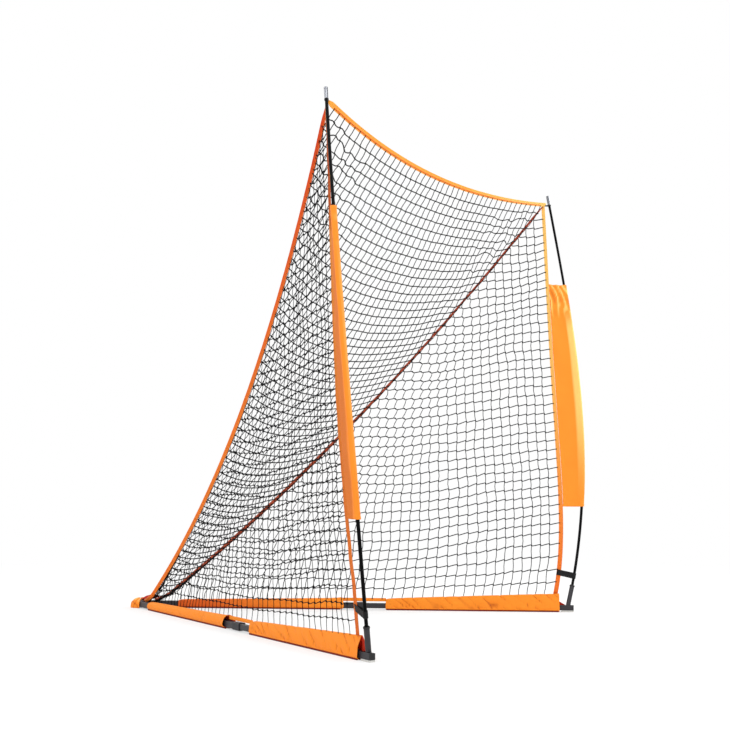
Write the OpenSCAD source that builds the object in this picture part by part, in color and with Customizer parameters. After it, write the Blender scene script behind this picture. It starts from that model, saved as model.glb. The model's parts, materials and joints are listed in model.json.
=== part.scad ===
// Portable bow-pole rebound goal: two folding base arms, two bent poles and a three-panel net
// X runs along the mouth, Y from the mouth back to the apex, Z up from the ground.
// Left-hand pieces are mirror images of the right-hand ones.

/* [Goal] */
// Distance between the two pole sockets, centre to centre
mouth_w = 1692; // [1500:1:1900]
// Distance from the mouth line back to where the centre lines of the arms meet
depth = 1757; // [1600:1:1900]
// Height of the pole tips above the base tubes
pole_rise = 1869; // [1700:1:2000]
// Height of the underside of the base tubes above the ground
floor_gap = 5.5; // [5:0.1:8]

/* [Base tubes] */
// Outside width of the square rear tubes
tube_w = 25.4; // [24:0.1:30]
// Wall of all the square tubes
tube_wall = 1.5; // [1:0.1:2]
// Corner radius of the rear tubes
tube_corner = 2.5; // [2:0.1:3]
// Clearance on each side where a front tube slides into a rear tube
tube_slip = 0.2; // [0.15:0.05:0.3]
// Length of front tube that sits inside the rear tube
tube_overlap = 110; // [90:1:150]
// Distance from the socket to the open end of the rear tube
joint_setback = 903; // [850:1:950]
// Length of front tube past the socket
tube_tail = 20; // [16:1:30]

/* [Apex hinge] */
// Distance between the two hinge bolts
bolt_spacing = 32; // [32:0.5:40]
// Shaft radius of the hinge bolts
bolt_r = 4; // [3:0.1:4.5]
// Radius of the low round bolt heads
bolt_head_r = 8; // [6.5:0.1:9]
// Thickness of the hinge plates
plate_t = 2.5; // [2:0.1:3]
// Distance from a bolt to the edge of the hinge plates
plate_edge = 13; // [11:0.1:15]
// Length of rear tube behind its bolt
tube_heel = 9; // [8:0.5:9.5]
// Outside radius of the spacer bush round each bolt
bush_r = 7; // [6:0.1:9]
// Height of the lock nuts
nut_h = 7; // [5:0.1:8]
// Width of the lock nuts across their flats
nut_w = 13; // [11:0.5:14]
// How far the bolts stand above their nuts, up to the roof of the pocket
bolt_proud = 4.6; // [1:0.1:10]

/* [Coupling] */
// Outside width of the coupling collar
collar_w = 29.8; // [29:0.1:33]
// Length of the coupling collar
collar_l = 54; // [45:1:70]
// Thickness of the collar's end wall, which the front tube passes through
collar_end = 4; // [3:0.5:6]
// Radius of the snap button
button_r = 4; // [3:0.1:5]
// How far the snap button stands above the collar
button_proud = 3; // [2:0.1:4]
// Distance from the button to the end of the collar
button_inset = 22; // [16:1:26]
// Thickness of the snap button's leaf spring
leaf_t = 0.8; // [0.5:0.1:1]
// Width of the snap button's leaf spring
leaf_w = 9; // [7:0.5:12]

/* [Sockets] */
// Outside radius of the pole sockets
socket_r = 10; // [9.5:0.1:12]
// Wall of the pole sockets
socket_wall = 1.8; // [1.2:0.1:2]
// Length of the pole sockets
socket_l = 85; // [60:1:110]
// Radius of the bushing's flange on top of a socket
flange_r = 11.5; // [11:0.1:14]
// Thickness of the bushing's flange
flange_t = 6; // [3:0.5:8]
// Length of bushing inside the socket
bushing_l = 28; // [15:1:40]
// Length of the foot pads under the tube ends
pad_l = 54; // [40:1:56]
// Length of the end cap's plug inside the tube
cap_plug = 16; // [10:1:25]
// Thickness of the end cap's head
cap_head = 3; // [2:0.5:5]

/* [Poles] */
// Radius of the lower pole sections
pole_low_r = 6.2; // [5.5:0.1:7]
// Radius of the upper pole sections
pole_high_r = 4.9; // [4:0.1:5.4]
// How far out a pole tip is from its socket
tip_out = 93; // [60:1:120]
// How far back a pole tip is from its socket
tip_back = 111; // [80:1:140]
// Outward bow of the lower half of a pole
bow_low = 559; // [400:1:600]
// Outward bow of the upper half of a pole
bow_high = 296; // [200:1:400]
// Forward sweep of the lower half of a pole
sweep_low = 339; // [250:1:380]
// Forward sweep of the upper half of a pole
sweep_high = 153; // [100:1:200]
// Share of the pole's height at which its two sections meet
pole_joint = 0.5; // [0.4:0.01:0.6]
// Length of the ferrule over the joint
ferrule_l = 60; // [40:1:80]
// Wall of the ferrule over the lower section
ferrule_wall = 1; // [0.6:0.1:1.2]
// Radius of the metal pole tips
tip_r = 7; // [6.5:0.1:8]
// Length of the metal pole tips
tip_l = 42; // [30:1:60]
// Length of pole inside its metal tip
tip_grip = 28; // [15:1:28]
// Length of a tip's cap above its groove
tip_cap = 6; // [4:0.5:10]
// Width of the groove under a tip's cap
tip_groove = 3; // [1:0.5:5]
// Height of the bevel on a tip's cap
tip_bevel = 2; // [0.5:0.5:3]

/* [Net] */
// Distance from a pole tip in to the net's top corner
corner_in = 21; // [18:1:40]
// Distance from a pole tip back to the net's top corner
corner_back = 6; // [0:1:12]
// Distance from a pole tip down to the net's top corner
corner_drop = 50; // [48:1:70]
// Sag of the net's top edge at mid span
top_sag = 64; // [30:1:100]
// Backward pull of the net's top edge at mid span
top_pull = 65; // [30:1:100]
// Outward bow of the net's front edges near the ground
edge_bow_low = 345; // [200:1:400]
// Outward bow of the net's front edges all the way up
edge_bow = 95; // [50:1:120]
// Forward pull of the net's front edges near the ground
edge_pull = 270; // [150:1:300]
// Inward sag of the seams
seam_in = 66; // [30:1:90]
// Forward sag of the seams
seam_forward = 23; // [0:1:40]
// Downward sag of the seams
seam_drop = 112; // [60:1:140]
// How far in front of the rear sleeve's end the seams come down
seam_foot_ahead = 8; // [4:1:20]
// How far the seams' feet stand above the rear sleeves
seam_foot_up = 4; // [2:0.5:8]
// How far inside the arm's middle the seams come down
seam_foot_in = 3.5; // [2:0.5:8]
// Width of the woven tapes along the net's edges
tape_w = 20; // [16:0.5:26]
// Thickness of the woven tapes
tape_t = 2; // [1.5:0.1:3]
// Gaps along the base of a side panel
side_gaps = 12; // [8:1:12]
// Gaps along the top edge from the middle to one corner, besides the middle one
back_gaps = 7; // [5:1:7]
// Width of the net's bars
bar_w = 5; // [3:0.5:6]
// Thickness of the net's bars
bar_t = 2.6; // [2:0.1:3]

/* [Fabric] */
// Thickness of the sleeve cloth with its seam allowance
cloth_t = 1.4; // [1:0.1:1.8]
// Height of the base sleeves at the feet
hem_foot = 81; // [65:1:95]
// Height of the base sleeves where the coupling shows
hem_mid = 52; // [50:1:60]
// Height of the base sleeves near the apex
hem_rear = 38; // [37:1:45]
// Half the width of the base sleeves
sleeve_half = 20; // [19.5:0.1:22]
// Distance from the socket back to the front sleeve
foot_setback = 39; // [34:1:60]
// Distance from the coupling forward to the front sleeve
front_sleeve_gap = 95; // [70:1:120]
// Distance from the coupling back to the rear sleeve
rear_sleeve_gap = 107; // [80:1:130]
// Distance from the hinge bolt to the left rear sleeve
left_sleeve_start = 80; // [78:1:100]
// Distance from the hinge bolt to the right rear sleeve
right_sleeve_start = 157; // [80:1:180]
// Height of the strip that joins the two base sleeves
strip_h = 11; // [8:0.5:12]
// Share of the pole's height where its sleeve starts
pole_sleeve_low = 0.23; // [0.2:0.01:0.3]
// Share of the pole's height where its sleeve ends
pole_sleeve_high = 0.775; // [0.7:0.005:0.85]
// Height of the black pole straps above the base tubes
strap_z = 124; // [118:1:150]
// Width of the black pole straps
strap_w = 25; // [20:0.5:28]
// How far the black straps climb from the poles to the net
strap_lift = 14; // [0:1:30]
// Thickness of the straps and corner loops
strap_t = 2; // [1.5:0.1:2.5]
// Half the width of the fabric pocket over the apex
pocket_half = 44; // [42:1:50]
// Length of the fabric pocket behind the ends of the rear tubes
pocket_reach = 51; // [48:1:60]

/* [Hidden] */
$fn = 48;

// Clearance between pieces that are sewn, seated or stacked on each other
seat = 0.3;
// Radial clearance of a turning or sliding round fit
run = 0.06;

// Base tubes, from the ground up
tube_low = floor_gap;
tube_mid = tube_low + tube_w / 2;
tube_top = tube_low + tube_w;
front_w = tube_w - 2 * tube_wall - 2 * tube_slip;
front_corner = tube_corner - tube_slip;

// Plan of the base: each arm turns on its own bolt and points at its socket
half_w = mouth_w / 2;
arm_angle = atan(half_w / depth);
along = [sin(arm_angle), -cos(arm_angle), 0];
outward = [cos(arm_angle), sin(arm_angle), 0];
hinge_x = bolt_spacing / 2;
hinge_back = hinge_x / tan(arm_angle);
arm_len = (depth - hinge_back) / cos(arm_angle);
front_sleeve_end = joint_setback - front_sleeve_gap;
rear_sleeve_end = joint_setback + rear_sleeve_gap;

// The origin lies midway between the foremost sleeve and the back of the pocket
pole_sleeve_r = (pole_low_r + ferrule_wall + 3 * seat) / cos(30) + cloth_t;
front_reach = min([for (t = [0:0.02:1]) pole_bend(t).y]) - pole_sleeve_r;
pocket_back = tube_heel + pocket_reach;
bolt_top = tube_top + seat + plate_t + nut_h + bolt_proud;
pocket_h = bolt_top + seat + cloth_t;
mouth_y = -(front_reach + depth - hinge_back + pocket_back) / 2;
hinge_y = mouth_y + depth - hinge_back;

// Curves of the right-hand side
function pole_bend(t) = [
    tip_out * t + t * (1 - t) * (bow_low * (1 - t) + bow_high * t),
    tip_back * t - t * (1 - t) * (sweep_low * (1 - t) + sweep_high * t),
    pole_rise * t,
];
function on_arm(x, y, z) = [hinge_x, hinge_y, z] + x * along + y * outward;
foot = on_arm(arm_len, 0, tube_top);
function pole_at(t) = foot + pole_bend(t);
corner = pole_at(1) + [-corner_in, corner_back, -corner_drop];
hem_corner = on_arm(arm_len - foot_setback - 6, 6, hem_foot - 3.6);
seam_foot = on_arm(left_sleeve_start + seam_foot_ahead, -seam_foot_in, hem_rear + seam_foot_up);
function edge_at(f) = lerp(hem_corner, corner, f)
    + [f * (1 - f) * (edge_bow_low * pow(1 - f, 2) + edge_bow), -edge_pull * f * pow(1 - f, 5), 0];
function seam_at(t) = lerp(corner, seam_foot, t) - 4 * t * (1 - t) * [seam_in, seam_forward, seam_drop];
function top_at(x) = let (k = 1 - pow(x / corner.x, 2))
    [x, corner.y + top_pull * k, corner.z - top_sag * k];
function hem_at(x) = lookup(x, [
    [left_sleeve_start, hem_rear],
    [arm_len - rear_sleeve_end, hem_mid],
    [arm_len - front_sleeve_end, hem_mid],
    [arm_len - foot_setback, hem_foot],
]);

// Directions that the tapes and nets lie in
panel_fall = unit([0, seam_foot.y - corner.y, seam_foot.z - corner.z]);
panel_up = unit(cross([1, 0, 0], panel_fall));
fin_out = unit(outward + [0, 0, 0.4] + panel_up);

// Small vector helpers
function unit(v) = v / norm(v);
function lerp(a, b, t) = a + (b - a) * t;
function flatten(lists) = [for (l = lists) for (e = l) e];
function frame_from(z) = let (x = unit(cross([0, 1, 0], z))) [x, cross(z, x), z];

// Turns its children's Z axis to point along a direction, at a place
module aim(place, direction) {
    f = frame_from(unit(direction));
    translate(place)
        rotate([0, acos(f[2].z), atan2(f[2].y, f[2].x)])
            rotate([0, 0, -atan2(f[2].y, f[2].x)])
                children();
}

// Places children on the right arm: X runs from the bolt to the socket, Y outward
module arm_place(x = 0, z = 0) {
    translate(on_arm(x, 0, z))
        rotate([0, 0, arm_angle - 90])
            children();
}

// Mirrors its children to the left side
module to_left() {
    mirror([1, 0, 0]) children();
}

module rounded_square(w, r) {
    square([w, w - 2 * r], center = true);
    square([w - 2 * r, w], center = true);
    for (x = [-1, 1], y = [-1, 1])
        translate([x * (w / 2 - r), y * (w / 2 - r)])
            circle(r);
}

// Square tube along X, centred on Y and Z
module square_tube(x0, x1, w, r, wall) {
    translate([x0, 0, 0])
        rotate([90, 0, 90])
            linear_extrude(x1 - x0)
                difference() {
                    rounded_square(w, r);
                    rounded_square(w - 2 * wall, r - wall / 2);
                }
}

// Skin between rings of points, closed at both ends; every ring has the same count
module loft(rings) {
    n = len(rings[0]);
    last = len(rings) - 1;
    side = [for (j = [0:last - 1], i = [0:n - 1]) let (a = j * n + i, b = j * n + (i + 1) % n)
        each [[a, a + n, b], [b, a + n, b + n]]];
    low = [for (i = [1:n - 2]) [0, i, i + 1]];
    high = [for (i = [1:n - 2]) [last * n, last * n + i + 1, last * n + i]];
    polyhedron(flatten(rings), concat(side, low, high), convexity = 6);
}

// Skin of a hollow sleeve: outer rings, inner rings, and a flat collar joining them at each end
module hollow_loft(outer, inner) {
    n = len(outer[0]);
    last = len(outer) - 1;
    shift = n * (last + 1);
    ends = last * n;
    skin = [for (j = [0:last - 1], i = [0:n - 1]) let (a = j * n + i, b = j * n + (i + 1) % n) each [
        [a, a + n, b], [b, a + n, b + n],
        [shift + a, shift + b, shift + a + n], [shift + b, shift + b + n, shift + a + n],
    ]];
    caps = [for (i = [0:n - 1]) let (k = (i + 1) % n) each [
        [i, k, shift + i], [k, shift + k, shift + i],
        [ends + i, shift + ends + i, ends + k], [ends + k, shift + ends + i, shift + ends + k],
    ]];
    polyhedron(concat(flatten(outer), flatten(inner)), concat(skin, caps), convexity = 6);
}

// Round rod through a list of points, each ring square to the curve
module rod(path, r, sides = 12) {
    last = len(path) - 1;
    loft([for (k = [0:last]) let (
        f = frame_from(unit(path[min(k + 1, last)] - path[max(k - 1, 0)]))
    ) [for (i = [0:sides - 1]) let (a = -360 * i / sides)
        path[k] + r * (cos(a) * f[0] + sin(a) * f[1])]]);
}

// Flat strip: centre points, a width vector and a thickness vector
module strip(path, wide, thick) {
    loft([for (p = path) [
        p - wide / 2 - thick / 2, p - wide / 2 + thick / 2,
        p + wide / 2 + thick / 2, p + wide / 2 - thick / 2,
    ]]);
}

// Net as one sheet with a hole in each cell. Points are the knots, cells list each gap's knots in
// turn, rim lists the outer knots in turn, and skew is the vector from the sheet's middle to its face.
module net(knots, cells, rim, skew) {
    n = len(knots);
    holes = [for (c = cells) let (
        mid = sum_of([for (k = c) knots[k]]) / len(c),
        inner = min([for (i = [0:len(c) - 1]) let (
            p = knots[c[i]],
            q = knots[c[(i + 1) % len(c)]]
        ) norm(cross(mid - p, q - p)) / norm(q - p)])
    ) [for (k = c) lerp(knots[k], mid, bar_w / 2 / inner)]];
    starts = running(0, [for (c = cells) len(c)]);
    corners = flatten(holes);
    m = len(corners);
    front = 0;
    back = n;
    front_hole = 2 * n;
    back_hole = 2 * n + m;
    around = [for (c = [0:len(cells) - 1], i = [0:len(cells[c]) - 1]) let (
        k = (i + 1) % len(cells[c]),
        a = cells[c][i],
        b = cells[c][k],
        ha = starts[c] + i,
        hb = starts[c] + k
    ) each [
        [front + a, front_hole + ha, front + b], [front + b, front_hole + ha, front_hole + hb],
        [back + a, back + b, back_hole + ha], [back + b, back_hole + hb, back_hole + ha],
        [front_hole + ha, back_hole + ha, front_hole + hb],
        [front_hole + hb, back_hole + ha, back_hole + hb],
    ]];
    edge = [for (i = [0:len(rim) - 1]) let (a = rim[i], b = rim[(i + 1) % len(rim)])
        each [[front + a, front + b, back + a], [front + b, back + b, back + a]]];
    polyhedron(
        concat(
            [for (p = knots) p + skew], [for (p = knots) p - skew],
            [for (p = corners) p + skew], [for (p = corners) p - skew]
        ),
        concat(around, edge),
        convexity = 10
    );
}
function sum_of(v, i = 0) = i == len(v) - 1 ? v[i] : v[i] + sum_of(v, i + 1);
function running(total, sizes, i = 0) =
    i == len(sizes) ? [] : concat([total], running(total + sizes[i], sizes, i + 1));

// ---------------------------------------------------------------- apex hinge

module plate_outline() {
    difference() {
        union() {
            for (s = [-1, 1])
                translate([s * hinge_x, hinge_y])
                    circle(plate_edge);
            translate([-hinge_x, hinge_y - plate_edge])
                square([bolt_spacing, 2 * plate_edge]);
        }
        for (s = [-1, 1])
            translate([s * hinge_x, hinge_y])
                circle(bolt_r + run);
    }
}

module apex_plate_lower() {
    color("#8d8f94")
        translate([0, 0, tube_low - seat - plate_t])
            linear_extrude(plate_t)
                plate_outline();
}

module apex_plate_upper() {
    color("#8d8f94")
        translate([0, 0, tube_top + seat])
            linear_extrude(plate_t)
                plate_outline();
}

module apex_bolts() {
    head = tube_low - seat - plate_t;
    color("#b9bbc0")
        for (s = [-1, 1])
            translate([s * hinge_x, hinge_y, 0]) {
                cylinder(r1 = bolt_head_r - 1, r2 = bolt_head_r, h = head);
                cylinder(r = bolt_r, h = bolt_top);
            }
}

module apex_nuts() {
    color("#b9bbc0")
        for (s = [-1, 1])
            translate([s * hinge_x, hinge_y, tube_top + seat + plate_t])
                difference() {
                    cylinder(r = nut_w / 2 / cos(30), h = nut_h, $fn = 6);
                    translate([0, 0, -1])
                        cylinder(r = bolt_r + run, h = nut_h + 2);
                }
}

// Outline of the pocket seen from above, drawn in by an inset
module pocket_outline(inset) {
    r = pocket_half - inset;
    back = hinge_y + pocket_back - pocket_half;
    translate([0, back])
        circle(r);
    translate([-r, hinge_y - plate_edge - 1])
        square([2 * r, back - hinge_y + plate_edge + 1]);
}

module apex_pocket() {
    color("#ff9238")
        difference() {
            translate([0, 0, seat])
                linear_extrude(pocket_h - seat)
                    pocket_outline(0);
            translate([0, 0, -1])
                linear_extrude(pocket_h - cloth_t + 1)
                    pocket_outline(cloth_t);
            translate([-pocket_half - 1, hinge_y - plate_edge - pocket_half, -1])
                cube([2 * pocket_half + 2, pocket_half, pocket_h + 2]);
        }
}

// ---------------------------------------------------------------- base arms

module rear_tube() {
    color("#3f3e42")
        arm_place(0, tube_mid)
            difference() {
                square_tube(-tube_heel, arm_len - joint_setback, tube_w, tube_corner, tube_wall);
                cylinder(r = bolt_r + run, h = 2 * tube_w, center = true);
                translate([button_x(), 0, 0])
                    cylinder(r = button_r + run, h = tube_w);
            }
}
function button_x() = arm_len - joint_setback + collar_end - button_inset;

module hinge_bush() {
    color("#e8e6df")
        arm_place(0, tube_low + tube_wall + seat)
            difference() {
                cylinder(r = bush_r, h = tube_w - 2 * tube_wall - 2 * seat);
                translate([0, 0, -1])
                    cylinder(r = bolt_r + run, h = tube_w);
            }
}

module front_tube() {
    color("#434247")
        arm_place(0, tube_mid)
            difference() {
                square_tube(
                    arm_len - joint_setback - tube_overlap, arm_len + tube_tail,
                    front_w, front_corner, tube_wall
                );
                translate([button_x(), 0, 0])
                    cylinder(r = button_r + run, h = tube_w);
            }
}

module coupling_collar() {
    end = arm_len - joint_setback + collar_end;
    bore = tube_w + 2 * seat;
    color("#37363b")
        arm_place(0, tube_mid)
            difference() {
                translate([end - collar_l, 0, 0])
                    rotate([90, 0, 90])
                        linear_extrude(collar_l)
                            rounded_square(collar_w, tube_corner + 1.5);
                translate([end - collar_l - 1, -bore / 2, -bore / 2])
                    cube([collar_l - collar_end + seat + 1, bore, bore]);
                translate([end - collar_end, -front_w / 2 - seat, -front_w / 2 - seat])
                    cube([collar_end + 1, front_w + 2 * seat, front_w + 2 * seat]);
                translate([button_x(), 0, 0])
                    cylinder(r = button_r + run, h = collar_w);
            }
}

// The button has a shaft through the tubes and collar, a domed top and a flange inside the tube
module snap_button() {
    roof = front_w / 2 - tube_wall;
    top = collar_w / 2 + button_proud;
    color("#8f9196")
        arm_place(button_x(), tube_mid) {
            translate([0, 0, roof - 2 - seat])
                cylinder(r = button_r + 1.5, h = 2);
            translate([0, 0, roof - 1 - seat])
                cylinder(r = button_r, h = top - roof - button_r / 2 + 1 + seat);
            translate([0, 0, top - button_r / 2])
                intersection() {
                    scale_dome(button_r);
                    cylinder(r = button_r, h = button_r / 2);
                }
        }
}

// Low dome of a sphere that meets its shaft at the shaft's radius
module scale_dome(r) {
    big = (pow(r, 2) + pow(r / 2, 2)) / r;
    translate([0, 0, r / 2 - big])
        sphere(big);
}

// Bent leaf inside the front tube: a flat leg on the tube's floor and a raised leg under the button
module button_spring() {
    floor_z = -front_w / 2 + tube_wall + seat;
    high_z = front_w / 2 - tube_wall - 2 - 2 * seat - leaf_t;
    reach = 34;
    color("#b9bbc0")
        arm_place(button_x(), tube_mid)
            rotate([90, 0, 0])
                translate([0, 0, -leaf_w / 2])
                    linear_extrude(leaf_w)
                        polygon([
                            [button_r + 1, high_z + leaf_t], [button_r + 1, high_z],
                            [-button_r, high_z], [-reach + 2 * leaf_t, floor_z + 2 * leaf_t],
                            [-reach + 2 * leaf_t, floor_z + leaf_t], [0, floor_z + leaf_t],
                            [0, floor_z], [-reach, floor_z],
                            [-reach, floor_z + 3 * leaf_t], [-button_r - 1, high_z + leaf_t],
                        ]);
}

module end_cap() {
    plug = front_w - 2 * tube_wall - 2 * seat;
    color("#2b2a2d")
        arm_place(arm_len + tube_tail, tube_mid) {
            translate([-cap_plug, 0, 0])
                rotate([90, 0, 90])
                    linear_extrude(cap_plug + seat + 1)
                        rounded_square(plug, front_corner - tube_wall / 2);
            translate([seat, 0, 0])
                rotate([90, 0, 90])
                    linear_extrude(cap_head)
                        rounded_square(front_w, front_corner);
        }
}

module foot_pad() {
    side = front_w / 2;
    color("#c9c8c4")
        arm_place(arm_len + tube_tail + cap_head + seat - pad_l, 0)
            translate([0, -side, 0])
                cube([pad_l, 2 * side, tube_mid - front_w / 2 - seat]);
}

// ---------------------------------------------------------------- sockets and poles

// A socket points from the foot at the place where the bent pole leaves it
socket_share = socket_l / pole_rise;
lean = unit(pole_bend(socket_share));
front_top = tube_mid + front_w / 2;
socket_base = foot + lean * ((front_top - tube_top) / lean.z);

module pole_socket() {
    color("#3a393d")
        difference() {
            aim(socket_base, lean)
                translate([0, 0, -socket_r])
                    difference() {
                        cylinder(r = socket_r, h = socket_l + socket_r);
                        cylinder(r = socket_r - socket_wall, h = socket_l + socket_r + 1);
                    }
            translate([foot.x - 3 * socket_r, foot.y - 3 * socket_r, front_top + seat - 5 * socket_r])
                cube([6 * socket_r, 6 * socket_r, 5 * socket_r]);
        }
}

module socket_bushing() {
    color("#1f1f22")
        aim(socket_base + lean * socket_l, lean)
            difference() {
                union() {
                    translate([0, 0, -bushing_l])
                        cylinder(r = socket_r - socket_wall - seat / 2, h = bushing_l + seat + 1);
                    translate([0, 0, seat])
                        cylinder(r = flange_r, h = flange_t - 2);
                    translate([0, 0, seat + flange_t - 2])
                        cylinder(r1 = flange_r, r2 = flange_r - 2, h = 2);
                }
                translate([0, 0, -bushing_l - 1])
                    cylinder(r = pole_low_r + seat / 2, h = bushing_l + flange_t + 3);
            }
}

// Shares of the height at which a bent pole is drawn, close together near the ferrule
ferrule_half = ferrule_l / 2 / pole_rise;
pole_start = socket_share + (flange_t + 4) / pole_rise;
strap_share = strap_z / pole_rise;
low_steps = [pole_start, for (i = [0:8]) lerp(strap_share, pole_joint - ferrule_half, i / 8), pole_joint];
high_steps = [pole_joint, for (i = [0:7])
    lerp(pole_joint + ferrule_half, 1 - tip_l / pole_rise, i / 7)];

module lower_pole() {
    plug = [socket_base + lean * (socket_r + 3), socket_base + lean * (socket_l + flange_t + 1)];
    color("#141315")
        rod(concat(plug, [for (t = low_steps) pole_at(t)]), pole_low_r);
}

module upper_pole() {
    top = pole_at(1 - tip_l / pole_rise);
    color("#141315")
        rod(
            concat([for (t = high_steps) t == pole_joint ? pole_at(t) + tip_line() * seat : pole_at(t)],
                [top + tip_line() * tip_grip]),
            pole_high_r
        );
}
function tip_line() = unit(pole_at(1) - pole_at(1 - tip_l / pole_rise));

module pole_ferrule() {
    low = pole_at(pole_joint - ferrule_half);
    high = pole_at(pole_joint + ferrule_half);
    color("#77787c")
        aim(low, high - low)
            difference() {
                cylinder(r = pole_low_r + seat + ferrule_wall, h = norm(high - low));
                translate([0, 0, -1])
                    cylinder(r = pole_low_r + seat, h = norm(high - low) / 2 + 1 + seat);
                cylinder(r = pole_high_r + seat, h = norm(high - low) + 1);
            }
}

module pole_tip() {
    start = pole_at(1 - tip_l / pole_rise);
    color("#c9cbd0")
        aim(start, tip_line())
            difference() {
                union() {
                    cylinder(r = tip_r, h = tip_l - tip_cap - tip_groove);
                    cylinder(r = tip_r - 1, h = tip_l - tip_cap);
                    translate([0, 0, tip_l - tip_cap])
                        cylinder(r = tip_r, h = tip_cap - tip_bevel);
                    translate([0, 0, tip_l - tip_bevel])
                        cylinder(r1 = tip_r, r2 = tip_r - 0.75 * tip_bevel, h = tip_bevel);
                }
                translate([0, 0, -1])
                    cylinder(r = pole_high_r + seat / 2, h = tip_grip + 2);
            }
}

// ---------------------------------------------------------------- net

// Side panel: level rows run from the front edge to the seam, columns stand below their ends
side_top = 0.965;
side_drop = fin_out * (tape_w / 2 + seat) + [0, 0, 2.6];
function side_front(f) = edge_at(f * side_top) - along * (tape_w + 6 * seat);
function seam_share(z) = let (b = corner.z - seam_foot.z + 4 * seam_drop)
    (b - sqrt(max(0, b * b - 16 * seam_drop * (corner.z - z)))) / (8 * seam_drop);
function side_seam_line(u) = seam_at(min(1, seam_share(side_front(1 - u).z + side_drop.z))) - side_drop;
function side_seam(u) = side_seam_line(u) + (side_front(1) - side_seam_line(0)) * pow(1 - u, 6);
function side_base(u) = let (
    y = side_seam_line(u).y - (side_seam_line(0).y - side_front(0).y) * pow(1 - u, 3),
    v = (side_front(0).y - y) / (side_front(0).y - side_seam_line(1).y),
    p = lerp(side_front(0), side_seam_line(1), v),
    x = (p - on_arm(0, 0, p.z)) * along
) [p.x, p.y, hem_at(x) + 3 * seat];
function side_at(u, w) = let (f = u > 0.999 ? 0 : w / (1 - u))
    lerp(side_base(u), side_seam(u), f)
    + (side_front(f) - lerp(side_front(0), side_front(1), f)) * pow(1 - u, 2);

module side_net() {
    n = side_gaps;
    knots = [for (j = [0:n], i = [0:n - j]) side_at(i / n, j / n)];
    cells = [for (j = [0:n - 1], i = [0:n - j - 1]) let (a = tri(n, i, j), b = tri(n, i, j + 1))
        i == n - j - 1 ? [a, a + 1, b] : [a, a + 1, b + 1, b]];
    rim = concat(
        [for (i = [0:n - 1]) tri(n, i, 0)],
        [for (j = [0:n - 1]) tri(n, n - j, j)],
        [for (j = [n:-1:1]) tri(n, 0, j)]
    );
    color("#1b1b1d")
        net(knots, cells, dedupe(rim), outward * bar_t / 2);
}
function tri(n, i, j) = j * (n + 1) - j * (j - 1) / 2 + i;
function dedupe(v) = [for (i = [0:len(v) - 1]) if (v[i] != v[(i + 1) % len(v)]) v[i]];

// Back panel: rows hang between the two seams, columns run straight down the panel. The rows are
// half a column apart along the seam, so every other row ends midway between two columns.
back_lift = 0.0048;
function back_seam(t) = seam_at(t) - fin_out * (tape_w / 2 + seat) - [1.6, 0, 0];
function back_row(j) = let (
    b = corner.x - seam_foot.x + 4 * seam_in,
    x = lerp(corner.x, seam_foot.x, j / back_gaps / 2),
    t = (b - sqrt(b * b - 16 * seam_in * (corner.x - x))) / (8 * seam_in)
) lerp(back_lift, 0.985, t);
function back_at(x, j) = let (
    s = back_seam(back_row(j)),
    k = (1 - pow(x / s.x, 2)) * s.x / corner.x
) [x, s.y + top_pull * k, s.z - top_sag * k];
function back_x(i, j) = let (inner = back_seam(0.985).x, wide = back_seam(back_row(0)).x)
    i >= back_gaps - j / 2 ? back_seam(back_row(j)).x : lerp(inner, wide, i / back_gaps);
function back_last(j) = ceil(back_gaps - j / 2);
function back_index(j, k) = j == 0 ? k : back_index(j - 1, 0) + 2 * back_last(j - 1) + 2 + k;

module back_net() {
    rows = 2 * back_gaps;
    knots = [for (j = [0:rows], k = [0:2 * back_last(j) + 1]) let (m = back_last(j))
        k > m ? back_at(back_x(k - m - 1, j), j) : back_at(-back_x(m - k, j), j)];
    cells = [for (j = [0:rows - 1]) let (
        m = back_last(j),
        d = m - back_last(j + 1),
        a = back_index(j, 0),
        b = back_index(j + 1, 0) - d
    ) each [for (k = [0:2 * m])
        d == 1 && k == 0 ? [a, b + 1, a + 1]
        : d == 1 && k == 2 * m ? [a + k, b + k, a + k + 1]
        : [a + k, b + k, b + k + 1, a + k + 1]]];
    rim = concat(
        [for (k = [2 * back_last(0) + 1:-1:1]) k],
        [for (j = [0:rows]) back_index(j, 0)],
        [for (j = [rows:-1:1]) back_index(j, 2 * back_last(j) + 1)]
    );
    color("#1b1b1d")
        net(knots, cells, dedupe(rim), panel_up * bar_t / 2);
}

module top_tape() {
    end = corner.x - tape_w / 2 + 7.8;
    inset = panel_up * (tape_w / 2 + seat) * (fin_out * panel_up);
    color("#f5a03c")
        strip([for (i = [-10:10]) top_at(end * i / 10) - inset], panel_fall * tape_w, panel_up * tape_t);
}

module front_tape() {
    color("#f0852e")
        strip(
            [for (i = [0:24]) edge_at(i / 24) - along * tape_w / 2 + [0, 0, seat * (1 - i / 24)]],
            -along * tape_w, -outward * tape_t
        );
}

module seam_tape() {
    flat = unit(cross(seam_foot - corner, fin_out));
    color("#e8641b")
        strip([for (i = [0:14]) seam_at(lerp(0.012, 0.985, i / 14))], fin_out * tape_w, -flat * tape_t);
}

// ---------------------------------------------------------------- fabric

// Ring of a base sleeve at a place on the arm: flat on the ground, drawn in to a thin hem above the tube
ring_sides = 12;
function squarish(v) = sign(v) * sqrt(abs(v));
function wrap_ring(x, inset) = let (
    h = hem_at(x),
    taper = 0.8 * max(0, h - hem_rear) / (hem_foot - hem_rear)
) [for (i = [0:ring_sides - 1]) let (
    a = 360 * (i + 0.5) / ring_sides,
    c = squarish(cos(a)),
    s = squarish(sin(a)) / squarish(cos(180 / ring_sides)),
    up = s > 0 ? h - tube_mid - inset : tube_mid - inset,
    y = (sleeve_half - inset) * c * (1 - taper * max(0, s) * max(0, s))
) on_arm(x, y, tube_mid + s * up)];

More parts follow.
